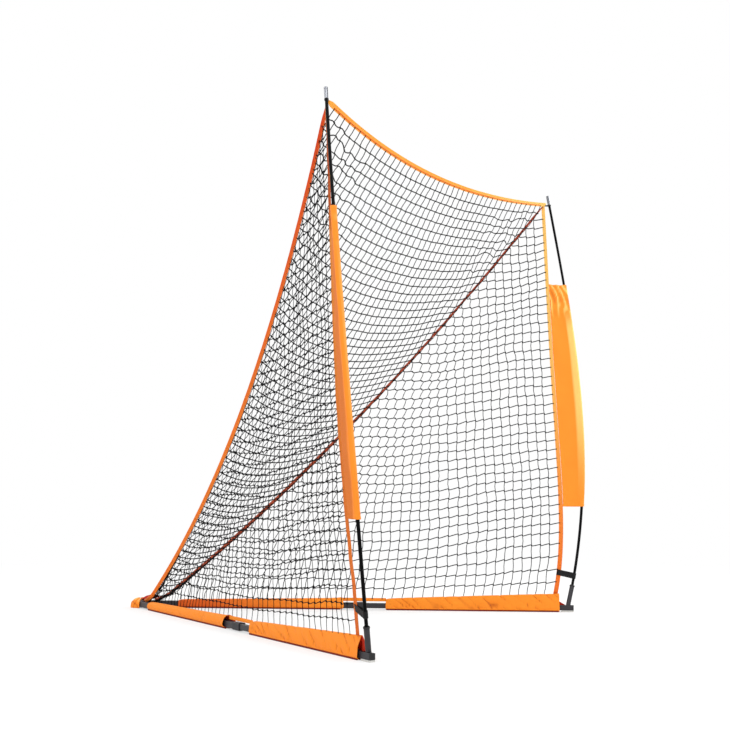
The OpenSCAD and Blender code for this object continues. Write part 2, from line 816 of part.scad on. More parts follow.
module wrap(x0, x1, steps) {
    stations = [for (i = [0:steps]) lerp(x0, x1, i / steps)];
    color("#ff9238")
        hollow_loft(
            [for (x = stations) wrap_ring(x, 0)],
            [for (x = stations) wrap_ring(x, cloth_t)]
        );
}

module front_sleeve() {
    wrap(arm_len - front_sleeve_end, arm_len - foot_setback, 6);
}

module hem_strip() {
    x0 = arm_len - rear_sleeve_end + seat;
    x1 = arm_len - front_sleeve_end - seat;
    color("#f0852e")
        arm_place(x0, hem_mid - strip_h)
            translate([0, -cloth_t, 0])
                cube([x1 - x0, 2 * cloth_t, strip_h]);
}

// Ring of a pole sleeve: round the pole at one end, thin where it meets the net's front edge
function edge_at_height(z) = edge_at((z - hem_corner.z) / (corner.z - hem_corner.z));
function sleeve_ring(t, inset) = let (
    p = pole_at(t),
    e = edge_at_height(p.z),
    reach = norm(e - p) - 4 * seat - inset,
    g = unit(e - p),
    n = [g.y, -g.x, 0],
    r = pole_sleeve_r - inset
) [
    for (a = [60:60:300]) p + r * (cos(a) * g + sin(a) * n),
    p + reach * 0.55 * g - (r * 0.6) * n,
    p + reach * g - (2.6 - inset) * n,
    p + reach * g + (2.6 - inset) * n,
    p + reach * 0.55 * g + (r * 0.6) * n,
];

module pole_sleeve() {
    stations = [for (i = [0:12]) lerp(pole_sleeve_low, pole_sleeve_high, i / 12)];
    color("#ff9238")
        hollow_loft(
            [for (t = stations) sleeve_ring(t, 0)],
            [for (t = stations) sleeve_ring(t, cloth_t)]
        );
}

// Webbing loop round the pole, drawn out to a point on the net
module webbing_loop(place, direction, to, width, hole) {
    flat = to - place - ((to - place) * unit(direction)) * unit(direction);
    f = frame_from(unit(direction));
    turn = atan2(flat * f[1], flat * f[0]);
    reach = norm(flat);
    multmatrix([
        [f[0].x, f[1].x, f[2].x, place.x],
        [f[0].y, f[1].y, f[2].y, place.y],
        [f[0].z, f[1].z, f[2].z, place.z],
        [0, 0, 0, 1],
    ])
        rotate([0, 0, turn])
            translate([0, 0, -width / 2])
                linear_extrude(width)
                    difference() {
                        polygon(concat(
                            [for (a = [90:15:270]) (hole + strap_t) * [cos(a), sin(a)]],
                            [[reach, -strap_t], [reach, strap_t]]
                        ));
                        circle(hole);
                    }
}

module pole_strap() {
    p = pole_at(strap_share);
    e = edge_at_height(p.z + strap_lift) - unit(edge_at_height(p.z + strap_lift) - p) * 4 * seat;
    color("#1c1c1f")
        webbing_loop(
            p, pole_at(strap_share + 0.01) - pole_at(strap_share - 0.01),
            e, strap_w, pole_low_r + 2 * seat
        );
}

module corner_loop() {
    share = 1 - (tip_l + tape_w / 2 + 2) / pole_rise;
    p = pole_at(share);
    e = edge_at_height(p.z) - unit(edge_at_height(p.z) - p) * (seat + 1);
    color("#f0852e")
        webbing_loop(p, pole_at(share + 0.005) - pole_at(share - 0.005), e, tape_w, pole_high_r + seat);
}

// Small cloth triangle between the front sleeve's open end and the socket
module foot_gusset() {
    x = arm_len - foot_setback + seat;
    color("#c22a12")
        arm_place(x, 0)
            rotate([90, 0, 0])
                translate([0, 0, -cloth_t / 2])
                    linear_extrude(cloth_t)
                        polygon([[0, front_top + seat], [foot_setback - 1.15 * socket_r, front_top + seat],
                            [0, hem_foot - 1]]);
}

// ---------------------------------------------------------------- nodes

module left_rear_tube() to_left() rear_tube();
module right_rear_tube() rear_tube();
module left_hinge_bush() to_left() hinge_bush();
module right_hinge_bush() hinge_bush();
module left_front_tube() to_left() front_tube();
module right_front_tube() front_tube();
module left_coupling_collar() to_left() coupling_collar();
module right_coupling_collar() coupling_collar();
module left_snap_button() to_left() snap_button();
module right_snap_button() snap_button();
module left_button_spring() to_left() button_spring();
module right_button_spring() button_spring();
module left_end_cap() to_left() end_cap();
module right_end_cap() end_cap();
module left_foot_pad() to_left() foot_pad();
module right_foot_pad() foot_pad();
module left_pole_socket() to_left() pole_socket();
module right_pole_socket() pole_socket();
module left_socket_bushing() to_left() socket_bushing();
module right_socket_bushing() socket_bushing();
module left_lower_pole() to_left() lower_pole();
module right_lower_pole() lower_pole();
module left_upper_pole() to_left() upper_pole();
module right_upper_pole() upper_pole();
module left_pole_ferrule() to_left() pole_ferrule();
module right_pole_ferrule() pole_ferrule();
module left_pole_tip() to_left() pole_tip();
module right_pole_tip() pole_tip();
module left_side_net() to_left() side_net();
module right_side_net() side_net();
module left_front_tape() to_left() front_tape();
module right_front_tape() front_tape();
module left_seam_tape() to_left() seam_tape();
module right_seam_tape() seam_tape();
module left_hem_strip() to_left() hem_strip();
module right_hem_strip() hem_strip();
module left_rear_sleeve() to_left() wrap(left_sleeve_start, arm_len - rear_sleeve_end, 6);
module right_rear_sleeve() wrap(right_sleeve_start, arm_len - rear_sleeve_end, 6);
module left_front_sleeve() to_left() front_sleeve();
module right_front_sleeve() front_sleeve();
module left_pole_sleeve() to_left() pole_sleeve();
module right_pole_sleeve() pole_sleeve();
module left_corner_loop() to_left() corner_loop();
module right_corner_loop() corner_loop();
module left_pole_strap() to_left() pole_strap();
module right_pole_strap() pole_strap();
module left_foot_gusset() to_left() foot_gusset();
module right_foot_gusset() foot_gusset();

apex_plate_lower();
apex_plate_upper();
apex_bolts();
apex_nuts();
apex_pocket();
back_net();
top_tape();
left_rear_tube();
right_rear_tube();
left_hinge_bush();
right_hinge_bush();
left_front_tube();
right_front_tube();
left_coupling_collar();
right_coupling_collar();
left_snap_button();
right_snap_button();
left_button_spring();
right_button_spring();
left_end_cap();
right_end_cap();
left_foot_pad();
right_foot_pad();
left_pole_socket();
right_pole_socket();
left_socket_bushing();
right_socket_bushing();
left_lower_pole();
right_lower_pole();
left_upper_pole();
right_upper_pole();
left_pole_ferrule();
right_pole_ferrule();
left_pole_tip();
right_pole_tip();
left_side_net();
right_side_net();
left_front_tape();
right_front_tape();
left_seam_tape();
right_seam_tape();
left_hem_strip();
right_hem_strip();
left_rear_sleeve();
right_rear_sleeve();
left_front_sleeve();
right_front_sleeve();
left_pole_sleeve();
right_pole_sleeve();
left_corner_loop();
right_corner_loop();
left_pole_strap();
right_pole_strap();
left_foot_gusset();
right_foot_gusset();
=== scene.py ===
"""Looks of a portable bow-pole rebound goal: nets, tapes, sleeves, poles, finishes, light and camera.

Metres, +X along the mouth towards the right pole, +Y from the mouth back to the apex, +Z up. The
curves are those of the right-hand side; left-hand pieces are mirror images of them.
"""

import json
import math

import bpy
import numpy as np
from bpy.props import FloatProperty, FloatVectorProperty, IntProperty, PointerProperty
from mathutils import Matrix, Vector


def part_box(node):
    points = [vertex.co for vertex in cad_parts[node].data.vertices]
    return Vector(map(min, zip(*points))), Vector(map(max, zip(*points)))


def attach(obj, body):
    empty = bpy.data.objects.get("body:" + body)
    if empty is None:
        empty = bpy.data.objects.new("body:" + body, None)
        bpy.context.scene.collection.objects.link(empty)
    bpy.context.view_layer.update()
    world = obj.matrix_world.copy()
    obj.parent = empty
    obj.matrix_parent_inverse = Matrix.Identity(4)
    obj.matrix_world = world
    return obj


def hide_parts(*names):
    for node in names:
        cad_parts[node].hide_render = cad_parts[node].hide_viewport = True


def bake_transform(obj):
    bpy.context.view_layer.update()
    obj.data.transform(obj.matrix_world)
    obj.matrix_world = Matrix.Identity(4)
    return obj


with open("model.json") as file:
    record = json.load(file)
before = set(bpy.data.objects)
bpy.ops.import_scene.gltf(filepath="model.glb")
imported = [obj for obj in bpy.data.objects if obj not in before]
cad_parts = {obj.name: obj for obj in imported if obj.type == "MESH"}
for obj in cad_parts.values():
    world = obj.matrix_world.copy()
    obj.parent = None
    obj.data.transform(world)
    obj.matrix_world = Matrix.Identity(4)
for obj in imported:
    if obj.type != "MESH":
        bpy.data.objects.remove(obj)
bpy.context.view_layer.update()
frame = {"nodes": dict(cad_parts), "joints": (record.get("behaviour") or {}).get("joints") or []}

bl_info = {
    "name": "Bow-pole goal",
    "version": (1, 0, 0),
    "blender": (4, 5, 0),
    "location": "View3D > Sidebar > Goal",
    "description": "Nets, tapes, sleeves, poles and finishes of a portable rebound goal",
    "category": "Object",
}

SIDES = {"left": -1, "right": 1}
HINGE = np.array(next(j for j in frame["joints"] if j["name"] == "right_arm_fold")["pos_m"])
TUBE_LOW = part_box("right_rear_tube")[0].z
TUBE_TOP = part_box("right_rear_tube")[1].z
FRONT_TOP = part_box("right_front_tube")[1].z
TUBE_MID = (TUBE_LOW + TUBE_TOP) / 2
UP = np.array([0.0, 0.0, 1.0])
CLEAR = 0.0003  # what sewn and fitted pieces leave between them


# ---------------------------------------------------------------- sizes and colours


def length(name, description, default):
    """A length in metres that a user can change."""
    return FloatProperty(name=name, description=description, default=default, unit="LENGTH", precision=4)


def colour(name, description, default):
    """A finish's colour, written as an sRGB hex value and kept as linear light."""
    return FloatVectorProperty(
        name=name, description=description, default=linear(default), subtype="COLOR", size=4, min=0, max=1
    )


def linear(text):
    """Turns an sRGB hex value such as #ff9238 into linear RGBA."""
    parts = [int(text[i : i + 2], 16) / 255 for i in (1, 3, 5)]
    return (*(c / 12.92 if c <= 0.04045 else ((c + 0.055) / 1.055) ** 2.4 for c in parts), 1.0)


class GoalCurves(bpy.types.PropertyGroup):
    """Sizes that the poles, the tapes and the nets bend by"""

    mouth_width: length("Mouth width", "Distance between the two pole sockets", 1.692)
    depth: length("Depth", "Distance from the mouth line back to where the arms' lines meet", 1.757)
    pole_rise: length("Pole rise", "Height of the pole tips above the base tubes", 1.869)
    tip_out: length("Tip out", "How far out a pole tip is from its socket", 0.093)
    tip_back: length("Tip back", "How far back a pole tip is from its socket", 0.111)
    bow_low: length("Low bow", "Outward bow of the lower half of a pole", 0.559)
    bow_high: length("High bow", "Outward bow of the upper half of a pole", 0.296)
    sweep_low: length("Low sweep", "Forward sweep of the lower half of a pole", 0.339)
    sweep_high: length("High sweep", "Forward sweep of the upper half of a pole", 0.153)
    corner_in: length("Corner in", "Distance from a pole tip in to the net's top corner", 0.021)
    corner_back: length("Corner back", "Distance from a pole tip back to the net's top corner", 0.006)
    corner_drop: length("Corner drop", "Distance from a pole tip down to the net's top corner", 0.041)
    top_sag: length("Top sag", "Sag of the net's top edge at mid span", 0.064)
    top_pull: length("Top pull", "Backward pull of the net's top edge at mid span", 0.065)
    edge_bow_low: length("Low edge bow", "Outward bow of the front edges near the ground", 0.345)
    edge_bow: length("Edge bow", "Outward bow of the front edges all the way up", 0.095)
    edge_pull: length("Edge pull", "Forward pull of the front edges near the ground", 0.270)
    seam_in: length("Seam in", "Inward sag of the seams", 0.066)
    seam_forward: length("Seam forward", "Forward sag of the seams", 0.023)
    seam_drop: length("Seam drop", "Downward sag of the seams", 0.112)
    hem_foot: length("Hem at the foot", "Height of the base sleeves at the feet", 0.081)
    hem_mid: length("Hem at the coupling", "Height of the base sleeves where the coupling shows", 0.052)
    hem_rear: length("Hem at the apex", "Height of the base sleeves near the apex", 0.038)
    foot_setback: length("Foot setback", "Distance from the socket back to the front sleeve", 0.039)
    front_sleeve_end: length("Front sleeve", "Distance from the socket to the front sleeve's rear end", 0.808)
    rear_sleeve_end: length("Rear sleeve", "Distance from the socket to the rear sleeve's front end", 1.010)
    hem_start: length("Hem start", "Distance from the bolt to where the net's hem starts", 0.080)
    right_sleeve_start: length("Right sleeve start", "Distance from the bolt to the right rear sleeve", 0.157)


class NetSizes(bpy.types.PropertyGroup):
    """Sizes of the knotted net and its tapes"""

    mesh: length("Mesh", "Side of one square of the net", 0.038)
    mesh_tall: length("Tall mesh", "Height of a mesh along the front edge, stretched by the poles", 0.0418)
    mesh_wide: length("Wide mesh", "Width of a mesh of the back net, stretched between the poles", 0.0418)
    cord: length("Cord", "Thickness of the net's cord", 0.0034)
    knot: length("Knot", "Width of a knot across its outer loops", 0.0088)
    step: length("Step", "How far a row climbs between two knots before it steps back", 0.007)
    waver: length("Waver", "How far the net wavers from its even surface", 0.007)
    tape: length("Tape", "Width of the woven tapes", 0.020)
    tape_top: length("Tape at the top", "Width of the front tapes at the top corners", 0.0155)
    tape_seam: length("Seam tape", "Width of the tapes on the seams", 0.0155)
    tape_thick: length("Tape thickness", "Thickness of the folded tapes", 0.0022)
    stitch: length("Stitch", "Length of one stitch with its gap", 0.0055)
    # each set of waves adds a number of its own to the seed
    seed: IntProperty(name="Seed", description="Start of the seeded wavers and wrinkles", default=7, min=0)


class GoalColours(bpy.types.PropertyGroup):
    """Colours of the finishes"""

    sleeve: colour("Sleeve cloth", "Orange polyester of the sleeves", "#ff8f26")
    tape: colour("Edge tape", "Yellow-orange tape on the net's top and front edges", "#f9a43a")
    tape_low: colour("Edge tape below", "Red-orange that the front tapes fade to near the ground", "#e0601c")
    seam: colour("Seam tape", "Red-orange tape on the seams", "#d9491a")
    seam_low: colour("Seam tape below", "Orange that the seams' tape fades to near the ground", "#ee7a28")
    # painted shade: the gussets and the apex flap are drawn in this dark red, as their orange cloth reads in
    # shade
    gusset: colour("Gusset cloth", "Red cloth behind the sockets and at the apex", "#b3260f")
    cord: colour("Net cord", "Black knotted cord", "#0b0b0d")
    strap: colour("Strap", "Black nylon webbing", "#0e0e10")
    tube: colour("Tube", "Charcoal powder coat", "#302f33")
    pole: colour("Pole", "Black fibreglass rod", "#030304")
    metal: colour("Plated steel", "Zinc-plated hinge hardware", "#b9bbc0")
    tip: colour("Pole tip", "Turned aluminium", "#75777c")


# ---------------------------------------------------------------- curves of the right-hand side


def lerp(a, b, t):
    """The point a share t of the way from a to b."""
    return a + (b - a) * t


def unit(v):
    """v at length 1."""
    return v / np.maximum(np.linalg.norm(v, axis=-1, keepdims=True), 1e-12)


def column(values):
    """Values as arrays with one more axis, ready to multiply points."""
    return np.asarray(values, float)[..., None]


def smooth(t):
    """Eases from 0 to 1 as t goes from 0 to 1: 3 t squared less 2 t cubed."""
    t = np.clip(t, 0, 1)
    return t * t * (3 - 2 * t)


def bent(value, power):
    """Values raised to a power, each with its own sign kept: below one it squares a circle's sine."""
    return np.sign(value) * np.abs(value) ** power


def turns(count, shift=0.0):
    """Angles evenly round a circle, shifted by a share of one step."""
    return 2 * np.pi * (np.arange(count) + shift) / count


class Curves:
    """The lines and surfaces that carry the right-hand side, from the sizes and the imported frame"""

    side_top = 0.982  # the side net ends at this share of the front edge
    tape_gap = 0.0018  # the side net starts this far behind the front tape,
    hem_gap = 0.0009  # and this far above the sleeves
    seam_gap = 0.0016  # the back net stops this far short of the seam

    def __init__(self, s, net):
        self.s, self.net = s, net
        angle = math.atan(s.mouth_width / 2 / s.depth)
        self.along = np.array([math.sin(angle), -math.cos(angle), 0.0])
        self.outward = np.array([math.cos(angle), math.sin(angle), 0.0])
        self.hinge = np.array([HINGE[0], HINGE[1], 0.0])
        self.arm = (s.depth - HINGE[0] / math.tan(angle)) / math.cos(angle)
        self.foot = self.on_arm(self.arm, 0, TUBE_TOP)
        self.corner = self.pole(1.0) + [-s.corner_in, s.corner_back, -s.corner_drop]
        # the front edge starts 6 mm inside the front sleeve's end, sunk a little into its top
        self.hem_corner = self.on_arm(self.arm - s.foot_setback - 0.006, 0.006, s.hem_foot - 0.0036)
        # the seam comes down just past the hem's start, 4 mm above it
        self.seam_foot = self.on_arm(s.hem_start + 0.008, -0.0035, s.hem_rear + 0.004)
        fall = self.seam_foot - self.corner
        self.panel_fall = unit(np.array([0, fall[1], fall[2]]))
        self.panel_up = unit(np.cross([1.0, 0, 0], self.panel_fall))
        # the seam's tape stands out of it like a fin, between the two nets' own directions
        self.fin_out = unit(self.outward + [0, 0, 0.4] + self.panel_up)
        self.fin = net.tape / 2 + CLEAR
        # from the side net's edge to the seam beside it
        self.side_drop = self.fin_out * self.fin + [0, 0, 0.0026]

    def on_arm(self, x, y, z):
        """Point x metres from the bolt towards the socket, y outward and z up."""
        x, y, z = np.broadcast_arrays(x, y, z)
        return self.hinge + column(x) * self.along + column(y) * self.outward + column(z) * UP

    def pole(self, t):
        """Pole's centre line: a straight rise plus t(1 - t) times bows that fade from low to high."""
        s, t = self.s, np.asarray(t, float)
        bow = t * (1 - t)
        return self.foot + np.stack([
            s.tip_out * t + bow * (s.bow_low * (1 - t) + s.bow_high * t),
            s.tip_back * t - bow * (s.sweep_low * (1 - t) + s.sweep_high * t),
            s.pole_rise * t,
        ], -1)

    def edge(self, f):
        """Front edge of the net from the hem, f = 0, to the top corner, f = 1, bowed out by the pole."""
        s, f = self.s, np.asarray(f, float)
        bow = f * (1 - f) * (s.edge_bow_low * (1 - f) ** 2 + s.edge_bow)
        pull = -s.edge_pull * f * (1 - f) ** 5
        return lerp(self.hem_corner, self.corner, column(f)) + np.stack([bow, pull, 0 * f], -1)

    def edge_at_height(self, z):
        """Front edge at a height."""
        return self.edge((z - self.hem_corner[2]) / (self.corner[2] - self.hem_corner[2]))

    def seam(self, t):
        """Seam from the top corner to its foot near the apex, with a parabola's sag."""
        s, t = self.s, np.asarray(t, float)
        sag = np.array([s.seam_in, s.seam_forward, s.seam_drop])
        return lerp(self.corner, self.seam_foot, column(t)) - 4 * column(t * (1 - t)) * sag

    def seam_end(self, t):
        """The seam's tail: a bend from the seam's foot down on to the tube, to rest 46 mm from the bolt.
        It is the curve that starts at the foot, leaves towards pull and arrives from it."""
        t = column(t)
        foot, rest = self.seam(0.985), self.on_arm(0.046, -0.002, TUBE_TOP + 0.0035)
        pull = self.on_arm(self.s.hem_start - 0.008, -0.003, TUBE_TOP + 0.009)
        return foot * (1 - t) ** 2 + 2 * pull * t * (1 - t) + rest * t**2

    def seam_share(self, z):
        """Share of the seam at which it is at height z: the parabola solved for its height."""
        drop = self.s.seam_drop
        b = self.corner[2] - self.seam_foot[2] + 4 * drop
        root = np.sqrt(np.maximum(0, b * b - 16 * drop * (self.corner[2] - z)))
        return (b - root) / (8 * drop)

    def hem(self, x):
        """Height of the base sleeves' top at x metres from the bolt."""
        s = self.s
        stations = [s.hem_start, self.arm - s.rear_sleeve_end, self.arm - s.front_sleeve_end,
                    self.arm - s.foot_setback]
        return np.interp(x, stations, [s.hem_rear, s.hem_mid, s.hem_mid, s.hem_foot])

    def front_width(self, f):
        """Width of the front tape, which narrows towards the top."""
        return lerp(self.net.tape, self.net.tape_top, smooth(np.asarray(f) / 0.8))

    def side_front(self, f):
        """Front edge of the side net, just behind the front tape."""
        f = np.asarray(f) * self.side_top
        return self.edge(f) - column(self.front_width(f) + self.tape_gap) * self.along

    def side_seam_line(self, u):
        """Seam edge of the side net at the height of the front edge's share 1 - u."""
        z = self.side_front(1 - np.asarray(u))[..., 2] + self.side_drop[2]
        return self.seam(np.minimum(1, self.seam_share(z))) - self.side_drop

    def side_seam(self, u):
        """The same edge, drawn to the front edge where the two meet."""
        meet = self.side_front(1.0) - self.side_seam_line(0.0)
        return self.side_seam_line(u) + meet * column((1 - np.asarray(u)) ** 16)

    def side_base(self, u):
        """Lower edge of the side net, on the sleeves' top."""
        front, seam = self.side_front(0.0), self.side_seam_line(u)
        back = self.side_seam_line(1.0)
        y = seam[..., 1] - (self.side_seam_line(0.0)[1] - front[1]) * (1 - np.asarray(u)) ** 3
        p = lerp(front, back, column((front[1] - y) / (front[1] - back[1])))
        x = (p - self.hinge)[..., :2] @ self.along[:2]
        return np.concatenate([p[..., :2], column(self.hem(x) + self.hem_gap)], -1)

    def side(self, u, w):
        """Side net: u runs back from the front edge, w up from the hem, and u + w is 1 on the seam. It is
        straight from hem to seam, plus the front edge's own bulge, which fades back by (1 - u) squared."""
        f = np.where(u > 0.999, 0, w / np.maximum(1 - u, 1e-6))
        bulge = self.side_front(f) - lerp(self.side_front(0.0), self.side_front(1.0), column(f))
        return lerp(self.side_base(u), self.side_seam(u), column(f)) + bulge * column((1 - u) ** 2)

    def back_seam(self, t):
        """Seam edge of the back net."""
        return self.seam(t) - self.fin_out * self.fin - [self.seam_gap, 0, 0]

    def back(self, x, t):
        """Back net at x across and seam share t down: every row sags like the top edge, less so lower."""
        edge = self.back_seam(t)
        k = (1 - (x / edge[..., 0]) ** 2) * edge[..., 0] / self.corner[0]
        return np.stack([x, edge[..., 1] + self.s.top_pull * k, edge[..., 2] - self.s.top_sag * k], -1)

    def top(self, x):
        """Top edge of the back net at x."""
        k = 1 - (np.asarray(x) / self.corner[0]) ** 2
        return np.stack([x, self.corner[1] + self.s.top_pull * k, self.corner[2] - self.s.top_sag * k], -1)


def curves():
    """The curves at the sizes that the scene holds."""
    return Curves(bpy.context.scene.goal_curves, bpy.context.scene.goal_net)


# ---------------------------------------------------------------- meshes from arrays


def volume(points, faces):
    """Volume inside a skin, below zero where it is inside out: the sum over its triangles of
    a . (b x c) / 6, measured from the middle of the points so that an open skin counts too."""
    points = points - points[faces[0].ravel()].mean(0)
    return sum(
        (points[f[:, 0]] * np.cross(points[f[:, k]], points[f[:, k + 1]])).sum() / 6
        for f in faces for k in range(1, f.shape[1] - 1)
    )


def add_mesh(name, points, faces, uvs, material, side=1):
    """Makes a piece from arrays: points (n, 3), faces as arrays (m, corners), and a UV for every corner
    in metres. side -1 mirrors it in X. A skin that is inside out has its faces turned round."""
    points = np.asarray(points, float) * np.array([side, 1, 1])
    if volume(points, faces) < 0:
        faces = [f[:, ::-1] for f in faces]
        uvs = [t[:, ::-1] for t in uvs]
    used, index = np.unique(np.concatenate([f.ravel() for f in faces]), return_inverse=True)
    starts = np.cumsum([0] + [f.shape[1] for f in faces for _ in range(len(f))][:-1])
    mesh = bpy.data.meshes.new(name)
    mesh.vertices.add(len(used))
    mesh.vertices.foreach_set("co", points[used].ravel())
    mesh.loops.add(len(index))
    mesh.loops.foreach_set("vertex_index", index.ravel().astype(np.int32))
    mesh.polygons.add(len(starts))
    mesh.polygons.foreach_set("loop_start", starts.astype(np.int32))
    mesh.polygons.foreach_set("use_smooth", np.ones(len(starts), bool))
    layer = mesh.uv_layers.new(name="UVMap")
    flat_uvs = np.concatenate([t.reshape(-1, 2) for t in uvs])
    layer.uv.foreach_set("vector", flat_uvs.astype(np.float32).ravel())
    mesh.update(calc_edges=True)
    if mesh.validate():
        raise RuntimeError(f"{name} has a face that isn't sound")
    mesh.materials.append(material)
    piece = bpy.data.objects.new(name, mesh)
    bpy.context.scene.collection.objects.link(piece)
    return piece


def grid(rows, columns, closed=True):
    """Quads of a grid of points, and each corner's row and column, counted on past the join."""
    j, i = np.meshgrid(np.arange(rows - 1), np.arange(columns if closed else columns - 1), indexing="ij")
    row = np.stack([j, j, j + 1, j + 1], -1).reshape(-1, 4)
    col = np.stack([i, i + 1, i + 1, i], -1).reshape(-1, 4)
    return row * columns + col % columns, row, col


def distances(points):
    """Distance along a row of points from its first one."""
    gaps = np.linalg.norm(np.diff(points, axis=-2), axis=-1)
    return np.concatenate([np.zeros_like(gaps[..., :1]), np.cumsum(gaps, -1)], -1)


def tube(rings):
    """Skin of rings (rows, sides, 3) wound the same way, with flat ends. Gives points, faces and UVs in
    metres: along the middle of the rings, and round them."""
    rows, sides = rings.shape[:2]
    quads, row, col = grid(rows, sides)
    ahead = distances(rings.mean(1))
    round_it = distances(np.concatenate([rings, rings[:, :1]], 1)).mean(0)
    wall_uv = np.stack([ahead[row], round_it[col]], -1)
    last = (rows - 1) * sides
    ends = np.stack([np.arange(sides), last + np.arange(sides)[::-1]])
    points = rings.reshape(-1, 3)
    first, second = points[1] - points[0], points[2] - points[0]
    right, up = unit(first), unit(np.cross(np.cross(first, second), first))
    end_uv = np.stack([points[ends] @ right, points[ends] @ up], -1)
    return points, [quads[:, ::-1], ends], [wall_uv[:, ::-1], end_uv]


def merged(parts):
    """Joins several sets of points, faces and UVs into one."""
    points, faces, uvs, shift = [], [], [], 0
    for p, f, t in parts:
        points.append(p)
        faces += [x + shift for x in f]
        uvs += t
        shift += len(p)
    return np.concatenate(points), faces, uvs


def circles(path, ahead, up, radius, sides):
    """A circle of points round each point of a path, square to the direction ahead there: the radius
    times its cosine towards up, and times its sine across."""
    lift = unit(up - (ahead * up).sum(-1, keepdims=True) * ahead)
    across = np.cross(ahead, lift)
    a = turns(sides)[:, None]
    radius = np.broadcast_to(radius, path.shape[:-1])[..., None, None]
    return path[..., None, :] + radius * (np.cos(a) * lift[..., None, :] + np.sin(a) * across[..., None, :])


def rod(path, radius, sides, up=UP):
    """Round rod: a circle square to the path at each of its points."""
    return circles(path, unit(np.gradient(path, axis=-2)), up, radius, sides)


def waves(points, size, seed, count=7, way=(0, 0, 0)):
    """Smooth seeded unevenness from -1 to 1: the mean of sine waves of about one length, each with
    its own direction and phase, scaled up to fill the range. way draws the directions towards it."""
    draw = np.random.default_rng(seed)
    ahead = unit(draw.normal(size=(count, 3)) + way)
    pitch = size * draw.uniform(0.7, 1.5, count)
    phase = draw.uniform(0, 2 * np.pi, count)
    return np.sin(points @ (ahead / pitch[:, None]).T * 2 * np.pi + phase).mean(-1) * 1.8


# ---------------------------------------------------------------- finishes

CLOTH_PATCHES = 9.0  # per metre: lighter and darker cloth, about 11 cm apart
YARN_FLUFF = 70.0  # per metre: soft unevenness of yarn, about 14 mm apart
WEAR_PATCHES = 18.0  # per metre: wear and dust, about 55 mm apart
# thread spacing, contrast of the weave and height of its relief
OXFORD = (0.0016, 0.35, 0.35)
BINDING = (0.0013, 0.4, 0.45)
# painted shade: this colour is painted into cloth and tape where a fold or the pole would shade them
PAINTED_SHADE_ORANGE = "#a8420f"  # orange cloth in the shade of a fold or of the pole beside it


def colours():
    """The colours that the scene holds."""
    return bpy.context.scene.goal_colours


def kept(name, build):
    """The material of that name, built once."""
    return bpy.data.materials.get(name) or build(name)


def add(tree, kind, inputs=(), **settings):
    """Adds a shader node with its settings, and gives its sockets values or links."""
    made = tree.nodes.new(kind)
    for key, value in settings.items():
        setattr(made, key, value)
    for key, value in dict(inputs).items():
        socket = made.inputs[key]
        if isinstance(value, bpy.types.NodeSocket):
            tree.links.new(value, socket)
        else:
            socket.default_value = value
    return made


def finish(name, shine=0.5, **values):
    """Starts a material and gives it with its tree, its surface shader and its coordinates. shine is how
    much it reflects face on: 0.5 is usual, and cloth and matt resin have less."""
    found = bpy.data.materials.new(name)
    found.use_nodes = True
    tree = found.node_tree
    tree.nodes.clear()
    surface = add(tree, "ShaderNodeBsdfPrincipled", {"Specular IOR Level": shine, **values})
    add(tree, "ShaderNodeOutputMaterial", {"Surface": surface.outputs["BSDF"]})
    return found, tree, surface, add(tree, "ShaderNodeTexCoord")


def shade(rgba, factor):
    """A colour made darker or lighter by a factor."""
    return (*(min(1.0, c * factor) for c in rgba[:3]), 1.0)


def patched(tree, slow, colour, spread):
    """A colour in slow patches of darker and lighter."""
    return add(tree, "ShaderNodeMixRGB", {"Fac": slow.outputs["Fac"], "Color1": shade(colour, 1 - spread),
                                          "Color2": shade(colour, 1 + spread)}).outputs[0]


def per_metre(size):
    """Wave texture's scale for stripes of a size in metres: its stripes are 2 pi over 20 apart."""
    return 2 * math.pi / 20 / size


